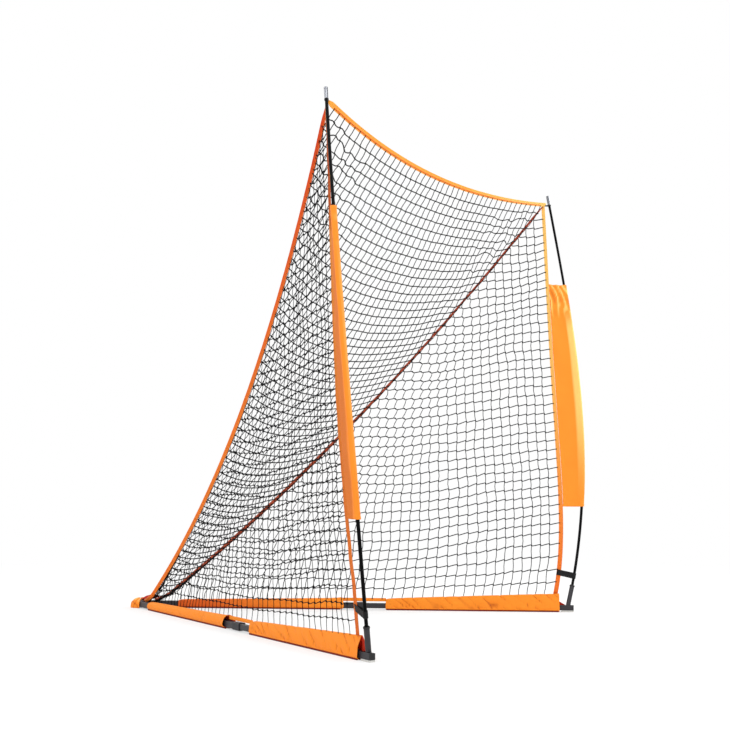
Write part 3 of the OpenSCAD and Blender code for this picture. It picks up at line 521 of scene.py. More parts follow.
def woven(name, colour, thread, contrast, bump, roughness, patches=0.1, below=None, places=(0, 1), axis="Z",
          marks=()):
    """Plain weave: warp and weft stripes on the piece's own UV, which is in metres, over slow patches of
    lighter and darker cloth. Its colour fades to the one below between two places on an axis. Each mark
    is a value of the piece's own, from 0 to 1, and the colour it leads to."""
    found, tree, surface, place = finish(name, 0.2, Roughness=roughness)
    stripes = {"Vector": place.outputs["UV"], "Scale": per_metre(thread)}
    warp = add(tree, "ShaderNodeTexWave", stripes, bands_direction="X")
    weft = add(tree, "ShaderNodeTexWave", stripes, bands_direction="Y")
    weave = add(tree, "ShaderNodeMath", {0: warp.outputs["Fac"], 1: weft.outputs["Fac"]},
                operation="MULTIPLY")
    slow = add(tree, "ShaderNodeTexNoise",
               {"Vector": place.outputs["Object"], "Scale": CLOTH_PATCHES, "Detail": 4.0})
    cloth = patched(tree, slow, colour, patches)
    if below:
        along = add(tree, "ShaderNodeSeparateXYZ", {"Vector": place.outputs["Object"]}).outputs[axis]
        share = add(tree, "ShaderNodeMapRange",
                    {"Value": along, "From Min": places[0], "From Max": places[1]}).outputs[0]
        faded = patched(tree, slow, below, patches)
        cloth = add(tree, "ShaderNodeMixRGB", {"Fac": share, "Color1": faded, "Color2": cloth}).outputs[0]
    for layer, tint in marks:
        share = add(tree, "ShaderNodeAttribute", attribute_name=layer).outputs["Fac"]
        cloth = add(tree, "ShaderNodeMixRGB", {"Fac": share, "Color1": cloth, "Color2": tint}).outputs[0]
    gaps = add(tree, "ShaderNodeMapRange", {"Value": weave.outputs[0], "To Min": 1 - 0.15 * contrast,
                                            "To Max": 1 + 0.45 * contrast})
    full = add(tree, "ShaderNodeMixRGB", {"Fac": 1.0, "Color1": cloth, "Color2": gaps.outputs[0]},
               blend_type="MULTIPLY")
    fine = add(tree, "ShaderNodeTexNoise",
               {"Vector": place.outputs["Object"], "Scale": YARN_FLUFF, "Detail": 3.0})
    height = add(tree, "ShaderNodeMath", {0: weave.outputs[0], 1: fine.outputs["Fac"]}, operation="ADD")
    relief = add(tree, "ShaderNodeBump",
                 {"Height": height.outputs[0], "Strength": bump, "Distance": thread * 0.4})
    tree.links.new(full.outputs[0], surface.inputs["Base Color"])
    tree.links.new(relief.outputs[0], surface.inputs["Normal"])
    return found


def worn(name, colour, metallic, roughness, grain, bump, spread=0.2, stretch=(1, 1, 1), shine=0.5):
    """Hard finish: fine grain in the bump and the roughness, and slow patches in the colour. stretch
    draws the grain out, as brushing, turning or drawing does."""
    found, tree, surface, place = finish(name, shine, Metallic=metallic)
    turned = add(tree, "ShaderNodeMapping", {"Vector": place.outputs["Object"], "Scale": stretch})
    fine = add(tree, "ShaderNodeTexNoise", {"Vector": turned.outputs[0], "Scale": 1 / grain, "Detail": 3.0})
    slow = add(tree, "ShaderNodeTexNoise",
               {"Vector": place.outputs["Object"], "Scale": WEAR_PATCHES, "Detail": 5.0})
    rough = add(tree, "ShaderNodeMapRange", {"Value": fine.outputs["Fac"], "To Min": roughness * 0.8,
                                             "To Max": roughness * 1.2})
    relief = add(tree, "ShaderNodeBump",
                 {"Height": fine.outputs["Fac"], "Strength": bump, "Distance": grain * 0.3})
    tree.links.new(patched(tree, slow, colour, spread), surface.inputs["Base Color"])
    tree.links.new(rough.outputs[0], surface.inputs["Roughness"])
    tree.links.new(relief.outputs[0], surface.inputs["Normal"])
    return found


def sleeve_cloth():
    """Coated polyester oxford: a coarse plain weave with a soft face. Its threads are 0.6 mm apart,
    drawn at 1.6 mm so that they show. Its marks paint pale yellow highlights on sharp folds and along
    the pole, and painted shade in its creases and folds."""
    return kept("oxford_polyester_orange", lambda n: woven(
        n, colours().sleeve, *OXFORD, 0.62, 0.07,
        marks=(("stretch", linear("#ffdc80")), ("crease", linear(PAINTED_SHADE_ORANGE)))))


def net_shaded_cloth():
    """The sleeves' cloth on the side that faces the net, painted a deeper orange as the shadow of the
    dense nets near the apex, fading to the sleeve's colour towards the feet, with painted shade in its
    creases."""
    return kept("oxford_polyester_net_shaded", lambda n: woven(
        n, colours().tape_low, *OXFORD, 0.7, 0.1, colours().sleeve, (0.15, 0.6), "Y",
        (("crease", linear(PAINTED_SHADE_ORANGE)),)))


def sleeve_lining():
    """The same cloth's uncoated back, which reads darker and redder inside an open end."""
    return kept("oxford_polyester_back", lambda n: woven(
        n, shade(colours().gusset, 2.2), 0.0016, 0.3, 0.3, 0.85))


def gusset_cloth():
    """Orange polyester oxford painted dark red as the shade it lies in, matt and dense."""
    return kept("oxford_polyester_shaded_red", lambda n: woven(n, colours().gusset, *OXFORD, 0.75))


def piping_and_shadow_cloth():
    """Dark red piping sewn along the sleeves' lower edges: a tight cord cover, drawn nearly black, which also
    stands in for the shadow under the sleeve.
    """
    return kept("piping_dark_red_and_shadow", lambda n: woven(n, shade(colours().gusset, 0.35), 0.0013, 0.4, 0.4, 0.7))


def woven_tape():
    """Polyester binding tape: close ribs across it, 1.3 mm apart. It is yellow-orange at the top and
    reddens towards the ground. It gets a pale painted highlight towards the right-hand top corner, and
    painted shade where the left pole shades it."""
    return kept("binding_tape_amber", lambda n: woven(
        n, colours().tape, *BINDING, 0.66, 0.06, colours().tape_low, (-0.1, 1.5),
        marks=(("stretch", linear("#ecc069")), ("crease", linear(PAINTED_SHADE_ORANGE)))))


def seam_tape():
    """The same tape dyed red-orange, a shade darker where two nets pull on it."""
    return kept("binding_tape_red_orange", lambda n: woven(
        n, colours().seam, *BINDING, 0.7, 0.1, colours().seam_low, (0.7, 1.75)))


def seam_shaded_side():
    """The seam tape's side that faces the goal's middle, painted dark brown-red as in shade, and doubled."""
    return kept("binding_tape_shaded_brown_red", lambda n: woven(
        n, linear("#98361c"), *BINDING, 0.8, 0.1, linear("#a8482a"), (0.5, 1.9)))


def black_strap():
    """Nylon webbing: heavy ribs 2 mm apart that catch small lights on black."""
    return kept("nylon_webbing_black", lambda n: woven(n, colours().strap, 0.002, 0.5, 0.7, 0.55, 0.15))


def sewing_thread():
    """Bonded polyester thread: pale amber and glossy, so that each stitch shows as a small bright bar."""
    return kept("bonded_thread_amber", lambda n: woven(
        n, shade(colours().tape, 1.25), 0.0006, 0.3, 0.2, 0.45))


def net_cord():
    """Twisted polyethylene cord: strands wind round it and catch the light as fine slanting lines. The
    strands are 0.8 mm wide, drawn at 2 mm."""
    def build(name):
        found, tree, surface, place = finish(name, 0.06, Roughness=0.6)
        lay = add(tree, "ShaderNodeTexWave", {"Vector": place.outputs["UV"], "Scale": per_metre(0.002)},
                  bands_direction="DIAGONAL")
        slow = add(tree, "ShaderNodeTexNoise", {"Vector": place.outputs["Object"], "Scale": 24.0})
        dark, light = shade(colours().cord, 0.6), shade(colours().cord, 1.7)
        tone = add(tree, "ShaderNodeMixRGB", {"Fac": slow.outputs["Fac"], "Color1": dark, "Color2": light})
        relief = add(tree, "ShaderNodeBump",
                     {"Height": lay.outputs["Fac"], "Strength": 0.6, "Distance": 0.0004})
        tree.links.new(tone.outputs[0], surface.inputs["Base Color"])
        tree.links.new(relief.outputs[0], surface.inputs["Normal"])
        return found
    return kept("twisted_cord_black", build)


def powder_coat():
    """Charcoal powder coat on steel tube: satin, with the fine orange peel that baking leaves."""
    return kept("powder_coat_charcoal", lambda n: worn(
        n, colours().tube, 0.0, 0.42, 0.0012, 0.25, 0.16, shine=0.3))


def moulded_nylon():
    """Moulded black nylon of the collars: a fine spark-eroded grain, soft highlights."""
    return kept("moulded_nylon_black", lambda n: worn(
        n, shade(colours().tube, 0.8), 0.0, 0.5, 0.0008, 0.35, shine=0.3))


def rubber_black():
    """Moulded rubber of caps and bushings: matt, a little dusty."""
    return kept("moulded_rubber_black", lambda n: worn(
        n, shade(colours().strap, 1.3), 0.0, 0.7, 0.0009, 0.3, 0.28))


def rubber_grey():
    """Pale grey rubber of the foot pads, scuffed darker by the ground."""
    return kept("rubber_grey", lambda n: worn(n, linear("#c9c8c4"), 0.0, 0.75, 0.0012, 0.3, 0.24))


def acetal_white():
    """Natural white acetal of the hinge bushes: waxy and smooth."""
    return kept("acetal_white", lambda n: worn(n, linear("#e8e6df"), 0.0, 0.35, 0.0015, 0.1, 0.08))


def zinc_plate():
    """Bright zinc plate on pressed steel: clear highlights broken by a faint spangle."""
    return kept("zinc_plated_steel", lambda n: worn(n, colours().metal, 1.0, 0.3, 0.0025, 0.12, 0.16))


def fibreglass():
    """Pultruded fibreglass: gloss black resin over fine lengthwise fibres, drawn 1.5 mm apart."""
    return kept("pultruded_fibreglass", lambda n: worn(
        n, colours().pole, 0.0, 0.35, 0.0015, 0.2, 0.4, (1, 1, 0.02), 0.06))


def turned_aluminium():
    """Aluminium turned on a lathe: fine rings round it that streak the highlights."""
    return kept("turned_aluminium", lambda n: worn(
        n, colours().tip, 1.0, 0.25, 0.0006, 0.4, 0.2, (0.15, 0.15, 1)))


def dull_aluminium():
    """Drawn aluminium of the ferrules, dulled by handling."""
    return kept("drawn_aluminium", lambda n: worn(
        n, linear("#8b8c90"), 1.0, 0.38, 0.0006, 0.2, 0.16, (1, 1, 0.1)))


# ---------------------------------------------------------------- net

SIDE_WEIGHT = {"left": 0.92, "right": 1.32}  # how heavy each side net's cord is drawn


class NetPanel:
    """One panel of knotted net. at(c, r) is its surface at column c and row r, counted in meshes from
    the edge; row_end(r) is the column at which row r stops, and column_end(c) the row at which column c
    stops. up is its face direction, tails are how far its cords run on into the tapes, weight is how
    heavy its cord is, and lean(c, r) is how far a column leans along the row between two knots, which it
    makes up for at each knot."""

    def __init__(self, at, row_end, column_end, counts, up, net, climb, tails, lean, weight):
        self.at, self.ends, self.counts, self.up, self.net = at, (row_end, column_end), counts, up, net
        self.climb, self.tails, self.lean, self.weight = climb, tails, lean, weight

    def lines(self, level, end, is_row):
        """Paths of rows or columns, as (lines, points, 3), and which of their points they reach.
        Between two knots a row falls evenly and then steps up; a column swells a little."""
        # where a cord's points sit between two knots
        part = np.array([0, 0.34, 0.68, 0.93]) if is_row else np.array([0.06, 0.5, 0.94])
        steps = (np.arange(math.ceil(end.max()) + 1)[:, None] + part).ravel()
        place = np.minimum(steps, end[:, None])
        level = np.broadcast_to(level[:, None], place.shape)
        fade = np.clip((end[:, None] - place) / 0.5, 0, 1)
        if is_row:
            path = self.at(place, level)
            climb = self.climb * (0.5 - place % 1) * fade
            path = path + column(climb) * unit(self.at(place, level + 0.01) - path)
        else:
            path = self.at(level, place)
            swell = 0.0016 * np.sin(np.pi * (place % 1)) * np.sign(np.sin(7.0 * level + 2.3 * place))
            path = path + column(swell) * np.cross(self.up, unit(self.at(level, place + 0.01) - path))
            path = path + self.lean(level, place) * column((place % 1 - 0.5) * fade)
        live = np.concatenate([np.ones((len(level), 1), bool), steps[:-1] < end[:, None] - 1e-6], 1)
        start, finish = self.tails[0 if is_row else 1]
        if start is not None:
            path = np.concatenate([path[:, :1] + start, path], 1)
            live = np.concatenate([live[:, :1], live], 1)
        path = np.concatenate([path, path[:, -1:]], 1)
        live = np.concatenate([live, np.zeros((len(live), 1), bool)], 1)
        path = path + column(~live) * finish
        live[np.arange(len(live)), live.sum(1)] = True
        return path, live


def cords(path, live, radius, up, sides=6):
    """Round cords along many paths at once. A cord ends where its path stops being live. Each ring is
    its point plus the radius times a hexagon square to the cord, and the two ends are closed."""
    lines, count = path.shape[:2]
    gap = np.diff(path, axis=1) * live[:, 1:, None]
    ahead = np.zeros_like(path)
    ahead[:, :-1] += gap
    ahead[:, 1:] += gap
    rings = circles(path, unit(ahead), up, radius, sides)
    run = np.concatenate([np.zeros((lines, 1)), np.cumsum(np.linalg.norm(gap, axis=-1), 1)], 1)
    j, k = np.nonzero(live[:, 1:])
    i = np.arange(sides)
    near, far = ((j * count + k) * sides)[:, None], ((j * count + k + 1) * sides)[:, None]
    n = (i + 1) % sides
    quads = np.stack([near + i, near + n, far + n, far + i], -1).reshape(-1, 4)
    step_round = radius * 2 * np.pi / sides
    u0, u1 = run[j, k][:, None] + 0 * i, run[j, k + 1][:, None] + 0 * i
    u = np.stack([u0, u0, u1, u1], -1)
    v = np.stack([i, i + 1, i + 1, i], -1) * step_round + 0 * u0[..., None]
    uv = np.stack([u, v], -1).reshape(-1, 4, 2)
    last = live.sum(1) - 1
    keep = last > 0
    first_ring = (np.arange(lines) * count * sides)[keep, None] + i[::-1]
    last_ring = ((np.arange(lines) * count + last) * sides)[keep, None] + i
    ends = np.concatenate([first_ring, last_ring])
    circle = np.stack([np.cos(turns(sides)), np.sin(turns(sides))], -1) * radius
    end_uv = np.broadcast_to(circle, (len(ends), sides, 2))
    return rings.reshape(-1, 3), [quads, ends], [uv, end_uv]


def knots(place, row_way, column_way, width, seed):
    """Two small interlocked loops at every place, which cross over the cords like a fisherman's knot.
    Each loop is a ring with a three-sided cross-section, leaning 40 degrees either way from the row."""
    up = unit(np.cross(row_way, column_way))
    thick = width * 0.19
    wide = width / 2 - thick
    around, sides, flatness = 6, 3, 0.86
    b, a = np.meshgrid(turns(around), turns(sides), indexing="ij")
    turn = np.random.default_rng(seed).normal(0, 0.16, len(place))
    _, row, col = grid(around + 1, sides)
    quads = (row % around) * sides + col % sides
    parts = []
    for lean in (0.72, -0.72):
        axis = unit(np.cos(lean + turn)[:, None] * column_way + np.sin(lean + turn)[:, None] * row_way)
        out = np.cross(axis, up)[:, None, None]
        hub = np.cos(b)[..., None] * out + flatness * np.sin(b)[..., None] * up[:, None, None]
        rings = (place[:, None, None] + hub * (wide + thick * np.cos(a))[..., None]
                 + (thick * np.sin(a))[..., None] * axis[:, None, None])
        base = (np.arange(len(place)) * around * sides)[:, None, None]
        faces = (quads[None, :, ::-1] + base).reshape(-1, 4)
        uv = np.stack([row * width * 0.4, col * thick * 2], -1)[None, :, ::-1]
        uv = np.broadcast_to(uv, (len(place), *uv.shape[1:])).reshape(-1, 4, 2)
        parts.append((rings.reshape(-1, 3), [faces], [uv]))
    return merged(parts)


def gathered(line, across, count, radius, spread, size, seed):
    """Loose cords side by side along a line: each wanders off it by its own waves of one size, within a
    spread that may change along the line."""
    spread = column(np.broadcast_to(spread, len(line)))
    path = np.stack([
        line + spread * (column(waves(line, size, seed + 2 * k)) * across[0]
                         + column(waves(line, size, seed + 2 * k + 1)) * across[1])
        for k in range(count)
    ])
    return cords(path, np.ones(path.shape[:2], bool), radius, across[0])


def add_net(name, panel, material, side, first_column):
    """Rows, columns and knots of one panel as a single piece. share is a cord's radius as a share of its
    thickness: rows are drawn heavier than columns. What is shorter than a fifth of a mesh is left out."""
    net, parts = panel.net, []
    columns, rows = np.arange(panel.counts[0]) + 0.0, np.arange(panel.counts[1]) + 0.0
    row_end, column_end = panel.ends
    for is_row, level, end, share in ((True, rows[1:], row_end, 0.52),
                                      (False, columns[first_column:], column_end, 0.40)):
        stop = end(level)
        path, live = panel.lines(level[stop > 0.2], stop[stop > 0.2], is_row)
        parts.append(cords(path, live, net.cord * panel.weight * share, panel.up))
    c, r = (x.ravel() for x in np.meshgrid(columns[first_column:], rows[1:]))
    inside = row_end(r) - c > 0.12
    c, r = c[inside], r[inside]
    place, ahead = panel.at(c, r), 0.05
    row_way, column_way = unit(panel.at(c + ahead, r) - place), unit(panel.at(c, r + ahead) - place)
    parts.append(knots(place, row_way, column_way, net.knot, net.seed))
    return add_mesh(name, *merged(parts), material, side)


def side_panel(c, net, weight):
    """The side net laid out by its real mesh: columns along the hem and rows up the front edge."""
    share = np.linspace(0, 1, 400)
    base = distances(c.side_base(share)) / net.mesh
    rise = distances(c.side_front(share)) / net.mesh_tall

    def at(col, row):
        u = np.clip(np.interp(col, base, share), 0, 1)
        w = np.clip(np.interp(row, rise, share), 0, 1 - u)
        low = np.clip(1 - w / np.maximum(1 - u, 1e-6), 0, 1)
        # rows are pulled up towards the front edge, and columns drift back low down
        lift = 0.034 * (1 - smooth(u / 0.48)) * smooth(w / 0.12) * smooth((1 - u - w) / 0.3)
        drift = 0.055 * smooth((u - 0.15) / 0.4) * smooth((1 - u) / 0.4) * low**1.6
        p = c.side(u + drift, w + lift)
        # it is held along its three edges, and looser where it crowds towards the apex
        room = smooth(u / 0.04) * smooth((1 - u - w) / 0.05) * smooth(w / 0.04)
        crowd = smooth(1 - (1 - u) / 0.45)
        shake = net.waver * room * (1 + crowd)
        fine = net.waver * room * (0.25 + 0.25 * crowd)

        def wave(size, number):
            return waves(p, size, net.seed + number)

        return (p + column(shake * wave(0.23, 0)) * c.outward
                + column(shake * 0.5 * wave(0.15, 1) + fine * wave(0.07, 8)) * c.along
                + column(shake * 0.6 * wave(0.19, 2) + fine * wave(0.06, 9)) * UP)

    def row_end(row):
        return np.interp(1 - np.interp(row, rise, share), share, base)

    def column_end(col):
        return np.interp(1 - np.interp(col, base, share), share, rise)

    def lean(col, row):
        ahead = col / base[-1]
        near_seam = row / np.maximum(column_end(col), 1) + ahead - 0.75
        return column(0.020 * smooth((ahead - 0.05) / 0.3) * smooth(near_seam / 0.4)) * c.along

    into_tape = c.side_drop * 0.6
    return NetPanel(
        at, row_end, column_end, counts=(math.ceil(base[-1]), math.ceil(rise[-1])), up=c.outward, net=net,
        climb=net.step, tails=((c.along * 0.007, into_tape), (-UP * 0.008, into_tape)), lean=lean,
        weight=weight,
    )


def back_panel(c, net):
    """Half of the back net: columns at even steps across from the middle, rows at even steps down it."""
    first, last = 0.0044, 0.985
    share = np.linspace(first, last, 500)
    half = c.back_seam(share)[:, 0] / net.mesh_wide
    middle = distances(c.back(0 * share, share)) / net.mesh
    sideways = np.array([1.0, 0, 0])

    def at(col, row):
        t = np.interp(row, middle, share)
        reach = c.back_seam(t)[..., 0]
        x = np.minimum(col * net.mesh_wide, reach)
        hang = 0.034 * smooth(t / 0.3) * (1 - (x / reach) ** 2) * reach / c.corner[0]
        p = c.back(x, np.minimum(t + hang, last))
        # it is held along its edges, and crumples under the top corners and towards the apex
        room = smooth((reach - x) / 0.06) * smooth((t - first) / 0.03) * smooth(x / 0.1)
        corner = smooth(1 - (reach - x) / 0.45) * smooth(1 - row * net.mesh / 0.8)
        crowd = smooth(1 - reach / 0.4)
        fine = net.waver * room * (0.15 + 2.2 * corner + 0.6 * crowd)

        def wave(size, number):
            return waves(p, size, net.seed + number)

        return (p + column(net.waver * 0.7 * room * wave(0.3, 3)) * c.panel_up
                + column(fine * (0.6 * wave(0.15, 15) + wave(0.07, 19))) * c.panel_fall
                + column(fine * 0.8 * wave(0.09, 16)) * sideways)

    def row_end(row):
        return np.interp(np.interp(row, middle, share), share, half)

    def column_end(col):
        return np.interp(-col, -half, middle)

    def lean(col, row):
        return column(0.006 + 0.016 * smooth((row / middle[-1] - 0.5) / 0.4)) * sideways

    into_tape = c.fin_out * 0.006
    return NetPanel(
        at, row_end, column_end, counts=(math.ceil(half[0]), math.ceil(middle[-1])), up=c.panel_up, net=net,
        climb=0.0, tails=((None, into_tape), (-c.panel_fall * 0.007, into_tape)), lean=lean, weight=1.27,
    )


def hang_between(piece, share):
    """Bakes a piece's place into its points, where it stays. share is not used."""
    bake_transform(piece)


def rest_points(piece):
    """A piece's points as an array."""
    points = np.zeros(len(piece.data.vertices) * 3, np.float32)
    piece.data.vertices.foreach_get("co", points)
    return points.reshape(-1, 3).astype(float)


def mark(piece, layer, values):
    """Stores a value for each point of a piece, for its finish to read."""
    layer_values = piece.data.attributes.new(layer, "FLOAT", "POINT").data
    layer_values.foreach_set("value", np.ravel(values).astype(np.float32))


def facing_in(piece, c, sign, limit):
    """Which faces of a piece look towards the goal's middle by more than a limit."""
    normals = np.zeros(len(piece.data.polygons) * 3, np.float32)
    piece.data.polygons.foreach_get("normal", normals)
    return normals.reshape(-1, 3) @ (c.outward * [sign, 1, 1]) < -limit


def paint_corner_light(piece):
    """Marks a painted highlight on a tape: paler towards the right-hand top corner, as if lit from there."""
    p = rest_points(piece)
    mark(piece, "stretch", 0.8 * smooth((p[:, 0] - 0.1) / 0.75) * smooth((p[:, 2] - 0.2) / 1.3))


def belongs(piece, body, stands_for=None):
    """Lets a piece ride on a body, and hides the node that it stands for, if any."""
    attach(piece, body)
    if stands_for:
        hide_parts(stands_for)


def share_to_seam(piece, c):
    """How far each point of the back net is from its middle, 0, towards the seam, 1, at its height."""
    p = rest_points(piece)
    edge = c.back_seam(np.linspace(0, 1, 300))
    reach = np.interp(p @ c.panel_fall, edge @ c.panel_fall, edge[:, 0])
    return np.clip(np.abs(p[:, 0]) / reach, 0, 1)


def seam_lacing(c, net):
    """One loose cord along a seam, and eight more over its last stretch, where the net bunches."""
    down, tail, bunch_start, loose = np.linspace(0.03, 0.985, 260), 16, 222, 0.0024
    line = np.concatenate([c.seam(down), c.seam_end(np.linspace(0.05, 1, tail))])
    down = np.concatenate([down, np.linspace(0.99, 1.05, tail)])
    line = line - c.fin_out * (net.tape_seam * 0.62)
    across = (c.outward, np.cross(c.outward, c.panel_fall))
    lace = gathered(line, across, 1, net.cord * 0.33, loose, 0.05, net.seed + 50)
    low = smooth((down[bunch_start:] - 0.86) / 0.14)
    line = line[bunch_start:] - column(low * 0.007) * c.outward
    spread = 0.001 + 0.010 * low
    bunch = gathered(line, across, 8, net.cord * 0.4, spread, 0.045, net.seed + 70)
    return merged([lace, bunch])


class GOAL_OT_nets(bpy.types.Operator):
    """Knots the two side nets and the two halves of the back net"""

    bl_idname = "goal.nets"
    bl_label = "Nets"

    def execute(self, context):
        c, net = curves(), context.scene.goal_net
        cord = net_cord()
        for side, sign in SIDES.items():
            panel = side_panel(c, net, SIDE_WEIGHT[side])
            piece = add_net(f"{side}_side_mesh", panel, cord, sign, 1)
            belongs(piece, f"{side}_arm", f"{side}_side_net")
            piece = add_net(f"{side}_back_mesh", back_panel(c, net), cord, sign, 0 if side == "right" else 1)
            hang_between(piece, share_to_seam(piece, c))
            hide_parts("back_net")
            piece = add_mesh(f"{side}_seam_lacing", *seam_lacing(c, net), cord, sign)
            belongs(piece, f"{side}_arm")
        return {"FINISHED"}


# ---------------------------------------------------------------- tapes and webbing

STITCH_ROWS = {1: -0.34, 2: 0.34}  # each row's place across a tape, as a share of its width
SEWN_IN = 0.46  # how far off a tape's middle its stitches lie, as a share of its thickness


def band(path, wide, thick, width, depth, sides=9):
    """Folded tape along a path: a flat oval across wide and thick, with its two folded edges a little
    fatter than its middle. Edges come first, so the fold faces wide."""
    a = turns(2 * sides, 0.5)
    across = bent(np.cos(a), 0.6)
    through = bent(np.sin(a), 0.35) * (0.82 + 0.3 * across**4)
    wide = np.broadcast_to(wide, path.shape) * column(np.broadcast_to(width, len(path)) / 2)
    thick = np.broadcast_to(thick, path.shape) * column(np.broadcast_to(depth, len(path)) / 2)
    return path[:, None] + across[:, None] * wide[:, None] + through[:, None] * thick[:, None]


def stitches(path, outward, net):
    """A row of stitches along a path: short threads that rise out of the cloth and dip back into it."""
    run, depth, thread = distances(path), 0.0005, 0.00035
    count = max(1, int(run[-1] / net.stitch))
    at = (np.arange(count)[:, None] + 0.5 + np.array([-0.34, -0.2, 0.2, 0.34])) * run[-1] / count
    place = np.stack([np.interp(at, run, path[:, k]) for k in range(3)], -1)
    out = np.stack([np.interp(at, run, np.broadcast_to(outward, path.shape)[:, k]) for k in range(3)], -1)
    place = place + out * column(depth * np.array([-0.9, 0.7, 0.7, -0.9]))
    return cords(place, np.ones(place.shape[:2], bool), thread, out, sides=4)


def add_top_tape(c, net, side, sign):
    """Half of the tape on the top edge, its two rows of stitches and the fold that it is turned over.
    It tapers to its end, just past the left corner and just short of the right one."""
    corner, fold_radius = c.corner[0], 0.0015
    end = corner + (0.006 if side == "left" else -0.003)
    path = c.top(np.linspace(0, end, 76)) - c.panel_up * c.fin * (c.fin_out @ c.panel_up)
    path = path + column(0.0011 * waves(path, 0.07, net.seed + 5)) * c.panel_up
    narrow = 1 - 0.55 * smooth((path[:, 0] - corner + 0.022) / 0.030)
    rings = band(path, c.panel_fall, c.panel_up, net.tape * narrow, net.tape_thick)
    tape = add_mesh(f"{side}_top_tape", *tube(rings), woven_tape(), sign)
    # painted highlight towards the right-hand top corner
    paint_corner_light(tape)
    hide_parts("top_tape")
    made = [tape]
    for number, share in STITCH_ROWS.items():
        line = path[:-5] + c.panel_fall * (net.tape * share) - c.panel_up * (net.tape_thick * SEWN_IN)
        made.append(add_mesh(f"{side}_top_stitches_{number}", *stitches(line, -c.panel_up, net),
                             sewing_thread(), sign))
    fold = path[:-4] + c.panel_fall * (net.tape * 0.16) - c.panel_up * (net.tape_thick * 0.4)
    made.append(add_mesh(f"{side}_top_fold", *tube(rod(fold, fold_radius, 6)), seam_tape(), sign))
    for piece in made:
        hang_between(piece, np.clip(np.abs(rest_points(piece)[:, 0]) / corner, 0, 1))


def add_front_tape(c, net, side, sign):
    """Tape on a front edge, with two rows of stitches on its outer face. The left one is in the shade
    of its pole, most of all above the sleeve."""
    f = np.linspace(0, 1, 90)
    width = c.front_width(f)
    path = c.edge(f) - column(width / 2) * c.along + column(CLEAR * (1 - f)) * UP
    path = path + column(0.0012 * waves(path, 0.09, net.seed + 6)) * c.outward
    rings = band(path, -c.along, -c.outward, width, net.tape_thick)
    tape = add_mesh(f"{side}_front_binding", *tube(rings), woven_tape(), sign)
    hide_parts(f"{side}_front_tape")
    # painted highlight towards the right-hand top corner
    paint_corner_light(tape)
    # painted shade: the left tape is darkened as in its pole's shade, most of all above the sleeve
    high = rest_points(tape)[:, 2]
    shaded = 0.3 + 0.15 * smooth((high - 0.3) / 0.2) + 0.55 * smooth((high - 1.38) / 0.1)
    mark(tape, "crease", shaded * (side == "left"))
    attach(tape, f"{side}_arm")
    for number, share in STITCH_ROWS.items():
        line = path - column(width * share) * c.along + c.outward * (net.tape_thick * SEWN_IN)
        piece = add_mesh(f"{side}_front_stitches_{number}", *stitches(line, c.outward, net),
                         sewing_thread(), sign)
        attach(piece, f"{side}_arm")


def add_seam_tape(c, net, side, sign):
    """Tape on a seam, from the top corner down and over on to the tube at the apex, with one row of
    stitches. It starts narrow, and fattens where it is doubled and twisted lower down."""
    flat = unit(np.cross(c.seam_foot - c.corner, c.fin_out))
    t, tail = np.linspace(0.004, 0.985, 110), 14
    path = np.concatenate([c.seam(t), c.seam_end(np.linspace(0.1, 1, tail))])
    t = np.concatenate([t, np.full(tail, 1.0)])
    path = path + column(0.0012 * waves(path, 0.08, net.seed + 7)) * flat
    width = net.tape_seam * (0.35 + 0.65 * smooth(t / 0.03))
    doubled = 4.4 * smooth((t - 0.25) / 0.5) * (1 - 0.6 * smooth((t - 0.93) / 0.06))
    fat = net.tape_thick * (1 + doubled)
    skin = tube(band(path, c.fin_out, -flat, width, fat))
    piece = add_mesh(f"{side}_seam_binding", *skin, seam_tape(), sign)
    # painted shade: the faces that look towards the goal's middle get the dark brown-red
    piece.data.materials.append(seam_shaded_side())
    inner = facing_in(piece, c, sign, 0.3)
    piece.data.polygons.foreach_set("material_index", inner.astype(np.int32))
    belongs(piece, f"{side}_arm", f"{side}_seam_tape")
    line = path - c.fin_out * (net.tape_seam * 0.3) + flat * column(fat * SEWN_IN)
    piece = add_mesh(f"{side}_seam_stitches", *stitches(line, flat, net), sewing_thread(), sign)
    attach(piece, f"{side}_arm")


class GOAL_OT_tapes(bpy.types.Operator):
    """Sews the tapes on the net's top edge, front edges and seams"""

    bl_idname = "goal.tapes"
    bl_label = "Tapes"

    def execute(self, context):
        c, net = curves(), context.scene.goal_net
        for side, sign in SIDES.items():
            add_top_tape(c, net, side, sign)
            add_front_tape(c, net, side, sign)
            add_seam_tape(c, net, side, sign)
        return {"FINISHED"}


def loop_path(reach, radius, gap):
    """Path of a strap in its own plane: from the net's side round the pole and back, on two plies."""
    a = np.radians(np.linspace(64, 296, 40))
    arc = radius * np.stack([np.cos(a), np.sin(a)], -1)
    t = column(np.linspace(0, 1, 12))
    upper = lerp(np.array([reach, gap]), arc[0], t[:-1])
    lower = lerp(arc[-1], np.array([reach, -gap]), t[1:])
    return np.concatenate([upper, arc, lower])


def strap_rings(place, direction, to, width, hole, gap):
    """Rings of a webbing strap round the pole at place, drawn together at the point to on the net. The
    webbing is 1.9 mm thick, and gap is half of what its two plies leave between their middles."""
    thick = 0.0019
    direction = unit(direction)
    flat = (to - place) - ((to - place) @ direction) * direction
    x = unit(flat)
    y = np.cross(direction, x)
    plan = loop_path(np.linalg.norm(flat), hole + thick / 2, gap)
    path = place + plan[:, :1] * x + plan[:, 1:] * y
    ahead = unit(np.gradient(path, axis=0))
    return band(path, direction, np.cross(ahead, direction), width, thick, sides=8)


